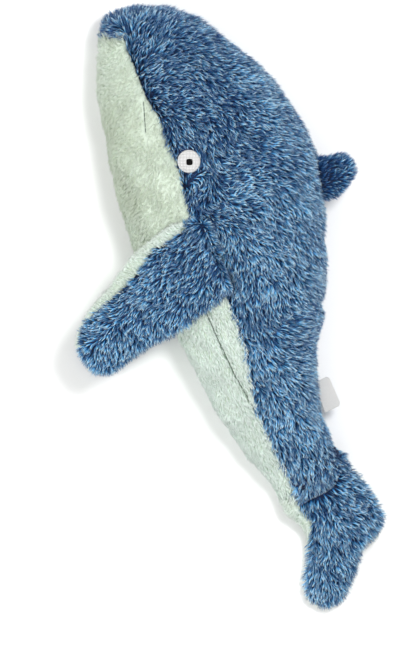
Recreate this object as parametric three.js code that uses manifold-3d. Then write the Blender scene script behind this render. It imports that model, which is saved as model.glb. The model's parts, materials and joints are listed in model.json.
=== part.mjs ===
// A whale-shaped plush toy lying on its right flank: X across the toy, Y along it with the head at +Y, Z up.
// Lengths are in millimetres and angles in degrees.
import * as THREE from 'three';
import { mergeVertices } from 'three/addons/utils/BufferGeometryUtils.js';
import Module from 'manifold-3d';

const wasm = await Module();
wasm.setup();

// Body: from the top of the head to the end of the tail stem
const bodyLength = 326;
const bodyWidth = 159;
const bodyThickness = 70;
const panelThickness = 8;
const pressedThickness = 5;
const seamGap = 0.4;

// Pectoral fins
const finReach = 104;
const finWidth = 74;
const finThickness = 12.6;
const finHeading = -157.1;
const finDroop = 8;
const finSeat = 1.5;
const underFinTuck = 2;
const finFilmThickness = 1;
const finSeamAllowance = 9;

// Dorsal fin
const dorsalReach = 23.4;
const dorsalLength = 30;
const dorsalThickness = 12;
const dorsalHeading = 8.8;

// Tail flukes
const flukeReach = 67.5;
const flukeSpan = 80;
const flukeThickness = 20;
const flukeHeading = -49.6;
const flukeKnuckleRadius = 12;
const waddingThickness = 5;
const waddingAllowance = 9;

// Eyes
const eyeRadius = 7.4;
const eyeThickness = 2.6;
const eyeSeatDepth = 1.6;
const eyeRimWidth = 2;
const eyeRimHeight = 0.8;
const eyeEdgeRound = 0.7;
const pupilRadius = 2.1;
const pupilHeight = 0.9;
const pupilSeatDepth = 0.6;

// Side tag: a folded woven strip
const tagLength = 19.5;
const tagReach = 11.6;
const tagPly = 0.6;
const tagSlitWidth = 0.6;
const tagHeading = 11;
const tagRootRadius = 1.2;

// Squeaker
const squeakerRadius = 22;
const squeakerWall = 1.2;
const squeakerBaseHeight = 8;
const squeakerBellowsHeight = 10;
const squeakerTopHeight = 8;
const squeakerFootRadius = 17;
const squeakerPleats = 3;
const squeakerPleatDepth = 1.6;
const reedHolderRadius = 5;
const reedHolderBore = 2.8;
const reedHolderHeight = 9;
const reedFlangeRadius = 6.6;
const reedFlangeHeight = 1.2;
const reedWidth = 5;
const reedThickness = 0.5;
const reedLength = 5;
const reedStep = 1;

// How finely the skins are cut into faces
const bodyCornerCount = 24;
const bodyRingCount = 24;
const innerCornerCount = 16;
const innerRingCount = 16;
const finCornerCount = 12;
const finRingCount = 11;
const flukeRingCount = 14;
const dorsalRingCount = 5;
const roundStepCount = 20;
const pupilStepCount = 12;
const capStepCount = 3;
const knuckleStepCount = 20;
const sectionPowerShare = 2.4;

// A block large enough to cut with
const stock = 3 * bodyLength;

// Rungs of the body, from the head to the tail. Each row is a share of bodyWidth and of bodyLength for the
// belly end and the same for the back end, then shares of bodyThickness for the underside and the top.
const bodyTipShares = [0.093, 0.008, 0.36];
const bodyRungShares = [
  [0.026, 0.028, 0.206, 0.001, 0.14, 0.56],
  [0.018, 0.051, 0.359, 0.014, 0.03, 0.70],
  [0.012, 0.079, 0.476, 0.047, -0.03, 0.78],
  [0.002, 0.126, 0.585, 0.087, -0.06, 0.86],
  [0.006, 0.173, 0.706, 0.138, -0.07, 0.91],
  [0.024, 0.228, 0.819, 0.215, -0.07, 0.95],
  [0.046, 0.287, 0.891, 0.287, -0.07, 0.98],
  [0.069, 0.346, 0.923, 0.350, -0.07, 1.00],
  [0.105, 0.415, 0.929, 0.415, -0.07, 1.00],
  [0.169, 0.504, 0.935, 0.508, -0.07, 0.98],
  [0.262, 0.594, 0.935, 0.594, -0.07, 0.94],
  [0.359, 0.685, 0.895, 0.681, -0.07, 0.86],
  [0.452, 0.776, 0.903, 0.764, -0.06, 0.75],
  [0.556, 0.858, 0.944, 0.835, -0.05, 0.62],
  [0.657, 0.919, 0.984, 0.878, -0.04, 0.51],
  [0.746, 0.976, 1.024, 0.906, -0.03, 0.43],
  [0.827, 1.028, 1.093, 0.949, -0.03, 0.40],
  [0.910, 1.080, 1.160, 0.990, -0.03, 0.38],
];

// Seam between the long pile and the short pile, and the long seam across the belly
const sideSeamShares = [
  [-0.200, 0.059], [0.048, 0.064], [0.119, 0.067], [0.129, 0.091], [0.153, 0.118], [0.181, 0.154],
  [0.210, 0.189], [0.262, 0.226], [0.294, 0.272], [0.343, 0.323], [0.359, 0.366], [0.391, 0.423],
  [0.464, 0.508], [0.528, 0.575], [0.573, 0.622], [0.605, 0.679], [0.629, 0.744], [0.649, 0.801],
  [0.698, 0.850], [0.766, 0.919], [0.831, 0.984], [0.910, 1.060], [0.950, 1.200],
];
const bellySeamShares = [
  [-0.200, 0.320], [0.065, 0.333], [0.115, 0.339], [0.129, 0.366], [0.151, 0.404], [0.172, 0.435],
  [0.196, 0.472], [0.327, 0.547], [0.448, 0.608], [0.492, 0.657], [0.528, 0.695], [0.565, 0.732],
  [0.615, 0.776], [0.660, 0.815], [0.800, 0.860], [1.400, 0.900],
];
const farShare = 2;

// Places on the body, as shares of bodyWidth and bodyLength
const finRootShares = [0.474, 0.500];
const dorsalRootShares = [0.914, 0.344];
const flukeRootShares = [0.887, 0.952];
const eyeShares = [0.378, 0.309];
const tagShares = [0.909, 0.765];
const squeakerShares = [0.650, 0.450];
const flukeHeightShare = 0.71;
const neckShare = 0.27;
const waistShare = 0.66;

// Rungs of a pectoral fin, from the tip to the root: shares of finReach and finWidth for the trailing end
// and for the leading end, then the share of finThickness between the two faces.
const finTipShares = [1, 0.36];
const finRungShares = [
  [0.938, 0.561, 0.990, 0.209, 0.78],
  [0.837, 0.595, 0.913, 0.095, 0.90],
  [0.740, 0.547, 0.808, -0.020, 0.96],
  [0.635, 0.514, 0.673, -0.101, 1],
  [0.524, 0.507, 0.548, -0.209, 1],
  [0.394, 0.486, 0.439, -0.289, 1],
  [0.273, 0.450, 0.283, -0.366, 1],
  [0.135, 0.405, 0.144, -0.397, 0.80],
  [0, 0.365, 0, -0.372, 0.56],
];
const finBandShares = [
  [-0.150, -0.380], [0.003, -0.365], [0.085, -0.332], [0.149, -0.296], [0.222, -0.264], [0.306, -0.266],
  [0.386, -0.201], [0.441, -0.149], [0.532, -0.072], [0.647, -0.022], [0.764, 0.054], [0.870, 0.095],
  [0.931, 0.164], [0.964, 0.295], [1.200, 0.330],
];

// Rungs of the dorsal fin, from the tip to the root, in the same form
const dorsalTipShares = [1, 0.08];
const dorsalRungShares = [
  [0.855, 0.367, 0.640, -0.250, 0.80],
  [0.600, 0.500, 0.430, -0.433, 1],
  [0.300, 0.513, 0.210, -0.477, 1],
  [0, 0.487, 0, -0.487, 0.75],
];

// Rungs of the flukes, from the notch in the trailing edge to the root: shares of flukeReach and flukeSpan
// for the back end and for the belly end, then shares of flukeThickness for the lower and the upper face.
const flukeTipShares = [0.889, -0.194, -0.28];
const flukeRungShares = [
  [0.800, -0.100, 0.956, -0.313, -0.50, -0.12],
  [0.770, -0.063, 1, -0.456, -0.62, -0.02],
  [0.741, -0.013, 0.978, -0.563, -0.68, 0.05],
  [0.719, 0.044, 0.862, -0.625, -0.70, 0.13],
  [0.739, 0.114, 0.745, -0.644, -0.70, 0.19],
  [0.717, 0.234, 0.625, -0.575, -0.70, 0.25],
  [0.630, 0.296, 0.489, -0.450, -0.70, 0.32],
  [0.471, 0.338, 0.388, -0.353, -0.66, 0.40],
  [0.301, 0.343, 0.261, -0.293, -0.58, 0.46],
  [0.135, 0.356, 0.141, -0.301, -0.50, 0.46],
  [0, 0.331, 0, -0.316, -0.42, 0.42],
];
const flukeBandShares = [
  [-0.200, -0.120], [0.027, -0.166], [0.096, -0.196], [0.243, -0.195], [0.327, -0.276], [0.394, -0.346],
  [0.484, -0.443], [0.573, -0.570], [0.600, -0.800],
];

// Outline of the side tag: shares of tagReach and tagLength
const tagOutlineShares = [[0, 0.500], [0.630, 0.480], [1, -0.530], [0.390, -0.690], [0, -0.500]];

// Materials
function finish(color, roughness, metalness) {
  return new THREE.MeshStandardMaterial({ color, roughness, metalness });
}
const softRough = 0.95;
const hardRough = 0.45;
const looks = {
  longPile: () => finish(0x466e9b, softRough, 0),
  shortPile: () => finish(0xd7e8d9, softRough, 0),
  felt: () => finish(0xf0f0ee, softRough, 0),
  blackThread: () => finish(0x111114, softRough, 0),
  wovenTag: () => finish(0xeeeeea, softRough, 0),
  fill: () => finish(0xf6f6f4, softRough, 0),
  film: () => finish(0xe6e8ea, hardRough, 0),
  squeakerPlastic: () => finish(0xf2f2f0, hardRough, 0),
  reedPlastic: () => finish(0xd84a3a, hardRough, 0),
};

// A closed geometry as a solid that can be cut, without the faces that have no area
function solidOf(geometry) {
  const bare = new THREE.BufferGeometry();
  bare.setAttribute('position', geometry.getAttribute('position').clone());
  if (geometry.index) bare.setIndex(geometry.index.clone());
  const merged = mergeVertices(bare);
  const corners = merged.index.array;
  const kept = [];
  for (let i = 0; i < corners.length; i += 3) {
    const [a, b, c] = corners.slice(i, i + 3);
    if (a !== b && b !== c && c !== a) kept.push(a, b, c);
  }
  return new wasm.Manifold(new wasm.Mesh({
    numProp: 3,
    vertProperties: new Float32Array(merged.getAttribute('position').array),
    triVerts: new Uint32Array(kept),
  }));
}

function geometryOf(solid) {
  const mesh = solid.getMesh();
  const geometry = new THREE.BufferGeometry();
  geometry.setAttribute('position', new THREE.BufferAttribute(new Float32Array(mesh.vertProperties), 3));
  geometry.setIndex(new THREE.BufferAttribute(new Uint32Array(mesh.triVerts), 1));
  geometry.computeVertexNormals();
  return geometry;
}

function piece(name, solid, look) {
  const mesh = new THREE.Mesh(geometryOf(solid), look());
  mesh.name = name;
  return mesh;
}

function placed(solid, matrix) {
  return solidOf(geometryOf(solid).applyMatrix4(matrix));
}

// The outline through both ends of all rungs and round the tip, as points in order
function outlineCurve(rungs, tip) {
  const firsts = rungs.map((rung) => rung.first);
  const seconds = rungs.map((rung) => rung.second);
  return new THREE.CatmullRomCurve3([...firsts.slice().reverse(), tip, ...seconds]);
}

// A closed skin from the tip to the last rung. Each ring stands on the line between the two ends of a rung,
// with the lower face at the height of the first end and the upper face at the height of the second.
// Seen from the tip towards the root with Z up, the first end is on the right.
function skin(rungs, tip, rings, ring) {
  const curve = outlineCurve(rungs, tip);
  const places = [tip.x, tip.y, tip.z];
  const power = 2 / sectionPowerShare;
  for (let i = 1; i <= rings; i += 1) {
    const first = curve.getPoint(0.5 - 0.5 * i / rings);
    const second = curve.getPoint(0.5 + 0.5 * i / rings);
    for (let k = 0; k < ring; k += 1) {
      const angle = 2 * Math.PI * k / ring;
      const across = (1 + Math.sign(Math.cos(angle)) * Math.abs(Math.cos(angle)) ** power) / 2;
      const up = (1 + Math.sign(Math.sin(angle)) * Math.abs(Math.sin(angle)) ** power) / 2;
      places.push(THREE.MathUtils.lerp(first.x, second.x, across));
      places.push(THREE.MathUtils.lerp(first.y, second.y, across));
      places.push(THREE.MathUtils.lerp(first.z, second.z, up));
    }
  }
  const last = 1 + (rings - 1) * ring;
  const end = new THREE.Vector3();
  for (let k = 0; k < ring; k += 1) end.add(new THREE.Vector3().fromArray(places, 3 * (last + k)));
  end.divideScalar(ring);
  places.push(end.x, end.y, end.z);
  const hub = last + ring;
  const faces = [];
  for (let k = 0; k < ring; k += 1) {
    const next = (k + 1) % ring;
    faces.push(0, 1 + next, 1 + k);
    faces.push(hub, last + k, last + next);
    for (let i = 0; i < rings - 1; i += 1) {
      const here = 1 + i * ring;
      faces.push(here + k, here + next, here + ring + next);
      faces.push(here + k, here + ring + next, here + ring + k);
    }
  }
  const geometry = new THREE.BufferGeometry();
  geometry.setAttribute('position', new THREE.Float32BufferAttribute(places, 3));
  geometry.setIndex(faces);
  geometry.computeVertexNormals();
  return geometry;
}

// The same skin moved outwards by a distance, or inwards where the distance is negative
function grown(geometry, distance) {
  const moved = geometry.clone();
  const place = moved.getAttribute('position');
  const normal = moved.getAttribute('normal');
  for (let i = 0; i < place.count; i += 1) {
    place.setXYZ(
      i,
      place.getX(i) + distance * normal.getX(i),
      place.getY(i) + distance * normal.getY(i),
      place.getZ(i) + distance * normal.getZ(i),
    );
  }
  return moved;
}

// A plan outline pulled up between two heights
function prism(points, low, high) {
  const shape = new THREE.Shape(points);
  const geometry = new THREE.ExtrudeGeometry(shape, { depth: high - low, bevelEnabled: false });
  return solidOf(geometry.translate(0, 0, low));
}

function block(lowCorner, highCorner) {
  const size = highCorner.clone().sub(lowCorner);
  const middle = lowCorner.clone().add(highCorner).divideScalar(2);
  return solidOf(new THREE.BoxGeometry(size.x, size.y, size.z).translate(middle.x, middle.y, middle.z));
}

// A line of points moved sideways: to its left where the distance is positive, seen from above
function shifted(points, distance, closed) {
  const count = points.length;
  return points.map((point, i) => {
    const before = closed ? points[(i + count - 1) % count] : points[Math.max(i - 1, 0)];
    const after = closed ? points[(i + 1) % count] : points[Math.min(i + 1, count - 1)];
    const along = after.clone().sub(before).normalize();
    return new THREE.Vector2(point.x - distance * along.y, point.y + distance * along.x);
  });
}

function turnedShape(profile, steps) {
  const points = profile.map(([radius, height]) => new THREE.Vector2(radius, height));
  return solidOf(new THREE.LatheGeometry(points, steps).rotateX(Math.PI / 2));
}

// A round bar with round ends along Y, centred on the origin
function knuckle(radius, length) {
  return solidOf(new THREE.CapsuleGeometry(radius, length - 2 * radius, capStepCount, knuckleStepCount));
}

// Where a share of the body lies in plan
function onBody([across, down]) {
  return new THREE.Vector2(across * bodyWidth, -down * bodyLength);
}

// The body skin
const bodyRungs = bodyRungShares.map(([bellyAcross, bellyDown, backAcross, backDown, under, top]) => {
  const belly = onBody([bellyAcross, bellyDown]);
  const back = onBody([backAcross, backDown]);
  return {
    first: new THREE.Vector3(belly.x, belly.y, under * bodyThickness),
    second: new THREE.Vector3(back.x, back.y, top * bodyThickness),
  };
});
const bodyTip = new THREE.Vector3(...onBody(bodyTipShares).toArray(), bodyTipShares[2] * bodyThickness);
const bodySkin = skin(bodyRungs, bodyTip, bodyRingCount, bodyCornerCount);
const innerSkin = skin(bodyRungs, bodyTip, innerRingCount, innerCornerCount);

function above(height) {
  return block(new THREE.Vector3(-stock, -stock, height), new THREE.Vector3(stock, stock, stock));
}

// The height of the body's surface over a point in plan
function topOver(point) {
  const ray = new THREE.Raycaster(new THREE.Vector3(point.x, point.y, stock), new THREE.Vector3(0, 0, -1));
  return ray.intersectObject(new THREE.Mesh(bodySkin, looks.longPile()))[0];
}

// Everything below the plane of symmetry, which follows the middle of the body's thickness
function lowerHalf(offset) {
  const middles = bodyRungs.map(({ first, second }) => {
    return new THREE.Vector2((first.y + second.y) / 2, (first.z + second.z) / 2 + offset);
  });
  const profile = [
    new THREE.Vector2(stock, middles[0].y),
    ...middles,
    new THREE.Vector2(-stock, middles[middles.length - 1].y),
    new THREE.Vector2(-stock, -stock),
    new THREE.Vector2(stock, -stock),
  ];
  const geometry = new THREE.ExtrudeGeometry(new THREE.Shape(profile), { depth: stock, bevelEnabled: false });
  geometry.translate(0, 0, -stock / 2);
  geometry.rotateX(Math.PI / 2).rotateZ(Math.PI / 2);
  return solidOf(geometry);
}

// The plan region on the belly side of a seam
function bellySide(seamShares, offset) {
  const seam = shifted(seamShares.map(onBody), offset, false);
  return prism([
    ...seam,
    onBody([farShare, farShare]),
    onBody([-farShare, farShare]),
    onBody([-farShare, seamShares[0][1]]),
  ], -stock, stock);
}

// A pectoral fin or dorsal fin lies along +X of its own frame, with its hinge along Y
function finRungs(rungShares, reach, width, thickness) {
  return rungShares.map(([firstOut, firstAlong, secondOut, secondAlong, thick]) => ({
    first: new THREE.Vector3(firstOut * reach, firstAlong * width, -thick * thickness / 2),
    second: new THREE.Vector3(secondOut * reach, secondAlong * width, thick * thickness / 2),
  }));
}

// The plan outline through the rungs, drawn in from their ends by an allowance less a growth
function innerOutline(rungs, allowance, growth) {
  const firsts = [];
  const seconds = [];
  rungs.forEach(({ first, second }, i) => {
    const along = new THREE.Vector2(second.x - first.x, second.y - first.y).setLength(allowance - growth);
    const out = i === 0 ? growth : 0;
    firsts.push(new THREE.Vector2(first.x + along.x + out, first.y + along.y));
    seconds.push(new THREE.Vector2(second.x - along.x + out, second.y - along.y));
  });
  return [...firsts, ...seconds.reverse()];
}

function rootLength(rungs) {
  const root = rungs[rungs.length - 1];
  return root.first.y - root.second.y;
}

// The plan region on the left of a band line, whose two ends run on far past the piece
function leftOfBand(bandShares, reach, width, offset, low, high, corners) {
  const band = bandShares.map(([out, along]) => new THREE.Vector2(out * reach, along * width));
  const line = shifted(band, offset, false);
  const start = line[0].clone().addScaledVector(line[0].clone().sub(line[1]), stock / reach);
  const [before, last] = line.slice(-2);
  const end = last.clone().addScaledVector(last.clone().sub(before), stock / reach);
  const far = corners.map(([x, y]) => new THREE.Vector2(x * farShare * stock, y * farShare * stock));
  return prism([start, ...line, end, ...far], low, high);
}

// Turned frames that carry the moving pieces
function frameAt(point, height, heading, tilt) {
  const frame = new THREE.Group();
  frame.position.set(point.x, point.y, height);
  frame.rotation.order = 'ZYX';
  frame.rotation.z = THREE.MathUtils.degToRad(heading);
  frame.rotation.y = THREE.MathUtils.degToRad(tilt);
  frame.updateMatrix();
  return frame;
}

const toy = new THREE.Group();
const finRoot = onBody(finRootShares);
const leftFin = frameAt(finRoot, topOver(finRoot).point.z + finSeat, finHeading, finDroop);
const rightFin = frameAt(finRoot, finThickness / 2, finHeading, 0);
rightFin.translateX(-underFinTuck);
rightFin.updateMatrix();
const dorsalRoot = onBody(dorsalRootShares);
const flukeRoot = onBody(flukeRootShares);
const tagRoot = onBody(tagShares);

function middleHeightAt(point) {
  const nearest = bodyRungs.slice().sort((a, b) => {
    return Math.abs(a.second.y - point.y) - Math.abs(b.second.y - point.y);
  })[0];
  return (nearest.first.z + nearest.second.z) / 2;
}
const dorsalFin = frameAt(dorsalRoot, middleHeightAt(dorsalRoot), dorsalHeading, 0);
const fluke = frameAt(flukeRoot, flukeHeightShare * flukeThickness, flukeHeading, 0);
const tag = frameAt(tagRoot, middleHeightAt(tagRoot), tagHeading, 0);
toy.add(leftFin, rightFin, dorsalFin, fluke, tag);

// Pectoral fins
const finLadder = finRungs(finRungShares, finReach, finWidth, finThickness);
const finTip = new THREE.Vector3(finTipShares[0] * finReach, finTipShares[1] * finWidth, 0);
const finSkin = skin(finLadder, finTip, finRingCount, finCornerCount);
const finRootRadius = finThickness / 2;

function finSolid(growth) {
  const root = knuckle(finRootRadius + growth, rootLength(finLadder) + 2 * growth);
  return solidOf(grown(finSkin, growth)).add(root);
}

// The room below a fin that lies flat, so that it can swing down out of its recess
function finSwing(growth) {
  const curve = outlineCurve(finLadder, finTip).getPoints(2 * finRingCount);
  const outline = shifted(curve.map((point) => new THREE.Vector2(point.x, point.y)), growth, true);
  return prism(outline, -stock, 0);
}

// The film lies inside the fin, clear of the seam round its edge
function finFilm(growth) {
  const outline = innerOutline(finLadder.slice(1), finSeamAllowance, growth);
  const half = finFilmThickness / 2 + growth;
  const sheet = prism(outline, -half, half);
  return sheet.subtract(block(
    new THREE.Vector3(-stock, -stock, -stock),
    new THREE.Vector3(finRootRadius - growth, stock, stock),
  ));
}

function addPectoralFin(frame, name, side) {
  const low = side > 0 ? seamGap / 2 : -stock;
  const high = side > 0 ? stock : -seamGap / 2;
  const wideLow = side > 0 ? -seamGap / 2 : -stock;
  const wideHigh = side > 0 ? stock : seamGap / 2;
  const hollow = finSolid(0).intersect(above(-finThickness / 2)).subtract(finFilm(seamGap));
  const corners = [[1, 1], [-1, 1]];
  const outer = leftOfBand(finBandShares, finReach, finWidth, 0, low, high, corners);
  const outerWide = leftOfBand(finBandShares, finReach, finWidth, -seamGap, wideLow, wideHigh, corners);
  frame.add(piece(`${name}_fin_outer_panel`, hollow.intersect(outer), looks.longPile));
  frame.add(piece(`${name}_fin_inner_panel`, hollow.subtract(outerWide), looks.shortPile));
  frame.add(piece(`${name}_fin_film`, finFilm(0), looks.film));
}
addPectoralFin(leftFin, 'left', 1);
addPectoralFin(rightFin, 'right', -1);

// Dorsal fin: two panels that meet on the plane of symmetry
const dorsalLadder = finRungs(dorsalRungShares, dorsalReach, dorsalLength, dorsalThickness);
const dorsalTip = new THREE.Vector3(dorsalTipShares[0] * dorsalReach, dorsalTipShares[1] * dorsalLength, 0);
const dorsalSkin = skin(dorsalLadder, dorsalTip, dorsalRingCount, finCornerCount);
const dorsalRootRadius = dorsalThickness / 2;

function dorsalSolid(growth) {
  const root = knuckle(dorsalRootRadius + growth, rootLength(dorsalLadder) + 2 * growth);
  return solidOf(grown(dorsalSkin, growth)).add(root);
}
dorsalFin.add(piece('dorsal_fin_left_panel', dorsalSolid(0).intersect(above(seamGap / 2)), looks.longPile));
dorsalFin.add(piece('dorsal_fin_right_panel', dorsalSolid(0).subtract(above(-seamGap / 2)), looks.longPile));

// Flukes
const flukeLadder = flukeRungShares.map(([firstOut, firstAlong, secondOut, secondAlong, low, high]) => ({
  first: new THREE.Vector3(firstOut * flukeReach, firstAlong * flukeSpan, low * flukeThickness),
  second: new THREE.Vector3(secondOut * flukeReach, secondAlong * flukeSpan, high * flukeThickness),
}));
const flukeTip = new THREE.Vector3(
  flukeTipShares[0] * flukeReach,
  flukeTipShares[1] * flukeSpan,
  flukeTipShares[2] * flukeThickness,
);
const flukeSkin = skin(flukeLadder, flukeTip, flukeRingCount, finCornerCount);

function flukeKnuckle(growth) {
  return knuckle(flukeKnuckleRadius + growth, rootLength(flukeLadder) + 2 * growth);
}
const flukeSolid = solidOf(flukeSkin).add(flukeKnuckle(0));

// The seam between the two faces, which sinks towards the tips as the flukes do
function flukeUpperHalf(offset) {
  const middles = flukeLadder.slice(1).reverse().map(({ first, second }) => {
    return new THREE.Vector2((first.x + second.x) / 2, (first.z + second.z) / 2 + offset);
  });
  const profile = [
    new THREE.Vector2(-stock, offset),
    ...middles,
    new THREE.Vector2(stock, middles[middles.length - 1].y),
    new THREE.Vector2(stock, stock),
    new THREE.Vector2(-stock, stock),
  ];
  const geometry = new THREE.ExtrudeGeometry(new THREE.Shape(profile), { depth: stock, bevelEnabled: false });
  geometry.translate(0, 0, -stock / 2);
  return solidOf(geometry.rotateX(Math.PI / 2));
}

// The wadding follows the seam between the faces, clear of the stitching round the edge
function flukeWadding(growth) {
  const outline = innerOutline(flukeLadder.slice(4), waddingAllowance, growth);
  const half = waddingThickness / 2 + growth;
  const pad = prism(outline, -stock, stock).intersect(flukeUpperHalf(-half)).subtract(flukeUpperHalf(half));
  return pad.subtract(block(
    new THREE.Vector3(-stock, -stock, -stock),
    new THREE.Vector3(flukeKnuckleRadius - growth, stock, stock),
  ));
}
const flukeHollow = flukeSolid.subtract(flukeWadding(seamGap));
const flukeCorners = [[1, -1], [1, 1], [-1, 1]];
const flukeOuter = leftOfBand(flukeBandShares, flukeReach, flukeSpan, 0, -stock, stock, flukeCorners);
const flukeOuterWide = leftOfBand(
  flukeBandShares,
  flukeReach,
  flukeSpan,
  -seamGap,
  -stock,
  stock,
  flukeCorners,
);
const flukeBlue = flukeOuter.intersect(flukeUpperHalf(seamGap / 2));
const flukeBlueWide = flukeOuterWide.intersect(flukeUpperHalf(-seamGap / 2));
fluke.add(piece('fluke_upper_panel', flukeHollow.intersect(flukeBlue), looks.longPile));
fluke.add(piece('fluke_lower_panel', flukeHollow.subtract(flukeBlueWide), looks.shortPile));
fluke.add(piece('fluke_wadding', flukeWadding(0), looks.fill));

// Side tag: two plies joined along the outer fold, sewn in at a round root
const tagOutline = tagOutlineShares.map(([out, along]) => {
  return new THREE.Vector2(out * tagReach, along * tagLength);
});
const tagStart = tagRootRadius + seamGap;

function tagRod(growth) {
  return solidOf(new THREE.CylinderGeometry(
    tagRootRadius + growth,
    tagRootRadius + growth,
    tagLength * (tagOutlineShares[0][1] - tagOutlineShares[4][1]) + 2 * growth,
    pupilStepCount,
  ));
}
const tagHalf = tagPly + tagSlitWidth / 2;
const tagPlate = prism(tagOutline, -tagHalf, tagHalf);
const [foldStart, foldEnd] = shifted([tagOutline[1], tagOutline[2]], -tagPly, false);
const foldRun = foldEnd.clone().sub(foldStart);
const tagSlit = prism([
  new THREE.Vector2(tagStart, -tagLength),
  foldEnd.clone().add(foldRun),
  foldStart.clone().addScaledVector(foldRun, (tagStart - foldStart.x) / foldRun.x),
], -tagSlitWidth / 2, tagSlitWidth / 2);
tag.add(piece('side_tag', tagPlate.subtract(tagSlit).add(tagRod(0)), looks.wovenTag));

// What the moving pieces take out of the body around them
function recesses(clearance) {
  return [
    placed(finSolid(clearance), leftFin.matrix),
    placed(finSolid(clearance), rightFin.matrix),
    placed(finSwing(clearance), rightFin.matrix),
    placed(knuckle(dorsalRootRadius + clearance, rootLength(dorsalLadder) + 2 * clearance), dorsalFin.matrix),
    placed(flukeKnuckle(clearance), fluke.matrix),
    placed(tagRod(clearance), tag.matrix),
  ];
}
const pastTail = placed(block(
  new THREE.Vector3(0, -stock, -stock),
  new THREE.Vector3(stock, stock, stock),
), fluke.matrix);

function cutBy(solid, cutters) {
  return cutters.reduce((rest, cutter) => rest.subtract(cutter), solid);
}

// Eyes: each sits square to the flank, in a seat cut into the side panel
const eyeSpot = onBody(eyeShares);
const flank = topOver(eyeSpot);
const leftEyeFrame = new THREE.Group();
leftEyeFrame.position.copy(flank.point);
leftEyeFrame.quaternion.setFromUnitVectors(new THREE.Vector3(0, 0, 1), flank.face.normal);
leftEyeFrame.translateZ(-eyeSeatDepth);
leftEyeFrame.updateMatrix();
const rightEyeFrame = new THREE.Group();
rightEyeFrame.position.set(eyeSpot.x, eyeSpot.y, eyeThickness);
rightEyeFrame.rotation.x = Math.PI;
rightEyeFrame.updateMatrix();
toy.add(leftEyeFrame, rightEyeFrame);

const eyeSeat = turnedShape([
  [0, -seamGap], [eyeRadius + seamGap, -seamGap],
  [eyeRadius + seamGap, 2 * eyeThickness], [0, 2 * eyeThickness],
], roundStepCount);
const eyeDish = eyeRadius - eyeEdgeRound - eyeRimWidth;
const dishHeight = eyeThickness - eyeRimHeight;
const pupilFloor = dishHeight - pupilSeatDepth;
const eyeDisc = turnedShape([
  [0, 0], [eyeRadius - eyeEdgeRound, 0], [eyeRadius, eyeEdgeRound], [eyeRadius, eyeThickness - eyeEdgeRound],
  [eyeRadius - eyeEdgeRound, eyeThickness], [eyeDish + eyeEdgeRound, eyeThickness], [eyeDish, dishHeight],
  [pupilRadius + seamGap, dishHeight], [pupilRadius + seamGap, pupilFloor], [0, pupilFloor],
], roundStepCount);
const pupil = turnedShape([
  [0, pupilFloor + seamGap], [pupilRadius, pupilFloor + seamGap],
  [pupilRadius, pupilFloor + seamGap + pupilHeight / 2], [0, pupilFloor + seamGap + pupilHeight],
], pupilStepCount);
leftEyeFrame.add(piece('left_eye', eyeDisc, looks.felt), piece('left_pupil', pupil, looks.blackThread));
rightEyeFrame.add(piece('right_eye', eyeDisc, looks.felt), piece('right_pupil', pupil, looks.blackThread));

// Body shell: the skin, flat where it rests, less the room inside
const bodySolid = cutBy(solidOf(bodySkin).intersect(above(0)), [
  ...recesses(seamGap),
  pastTail,
  placed(eyeSeat, leftEyeFrame.matrix),
  placed(eyeSeat, rightEyeFrame.matrix),
]);

function innerSolid(thickness) {
  return cutBy(
    solidOf(grown(innerSkin, -thickness)).intersect(above(pressedThickness + thickness - panelThickness)),
    [...recesses(thickness), pastTail],
  );
}
const shell = bodySolid.subtract(innerSolid(panelThickness));

const upperHalf = lowerHalf(-seamGap / 2);
const wideLowerHalf = lowerHalf(seamGap / 2);
const mint = shell.intersect(bellySide(sideSeamShares, -seamGap / 2));
const blue = shell.subtract(bellySide(sideSeamShares, seamGap / 2));
const throat = mint.subtract(bellySide(bellySeamShares, seamGap / 2));
toy.add(
  piece('side_panel_left', blue.subtract(wideLowerHalf), looks.longPile),
  piece('side_panel_right', blue.intersect(upperHalf), looks.longPile),
  piece('throat_panel_left', throat.subtract(wideLowerHalf), looks.shortPile),
  piece('throat_panel_right', throat.intersect(upperHalf), looks.shortPile),
  piece('belly_panel', mint.intersect(bellySide(bellySeamShares, -seamGap / 2)), looks.shortPile),
);

// Squeaker: a base and a top joined by pleats, with a reed in the base
const squeaker = new THREE.Group();
const squeakerSpot = onBody(squeakerShares);
const squeakerHeight = squeakerBaseHeight + squeakerBellowsHeight + squeakerTopHeight + 2 * seamGap;
squeaker.position.set(squeakerSpot.x, squeakerSpot.y, (bodyThickness - squeakerHeight) / 2);
squeaker.updateMatrix();
toy.add(squeaker);
const holderBore = reedHolderRadius + seamGap;
const squeakerBase = turnedShape([
  [holderBore, 0], [squeakerFootRadius, 0], [squeakerRadius, squeakerBaseHeight / 2],
  [squeakerRadius, squeakerBaseHeight], [squeakerRadius - squeakerWall, squeakerBaseHeight],
  [squeakerRadius - squeakerWall, squeakerBaseHeight / 2 + squeakerWall],
  [squeakerFootRadius - squeakerWall, squeakerWall],
  [holderBore, squeakerWall], [holderBore, 0],
], roundStepCount);

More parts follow.
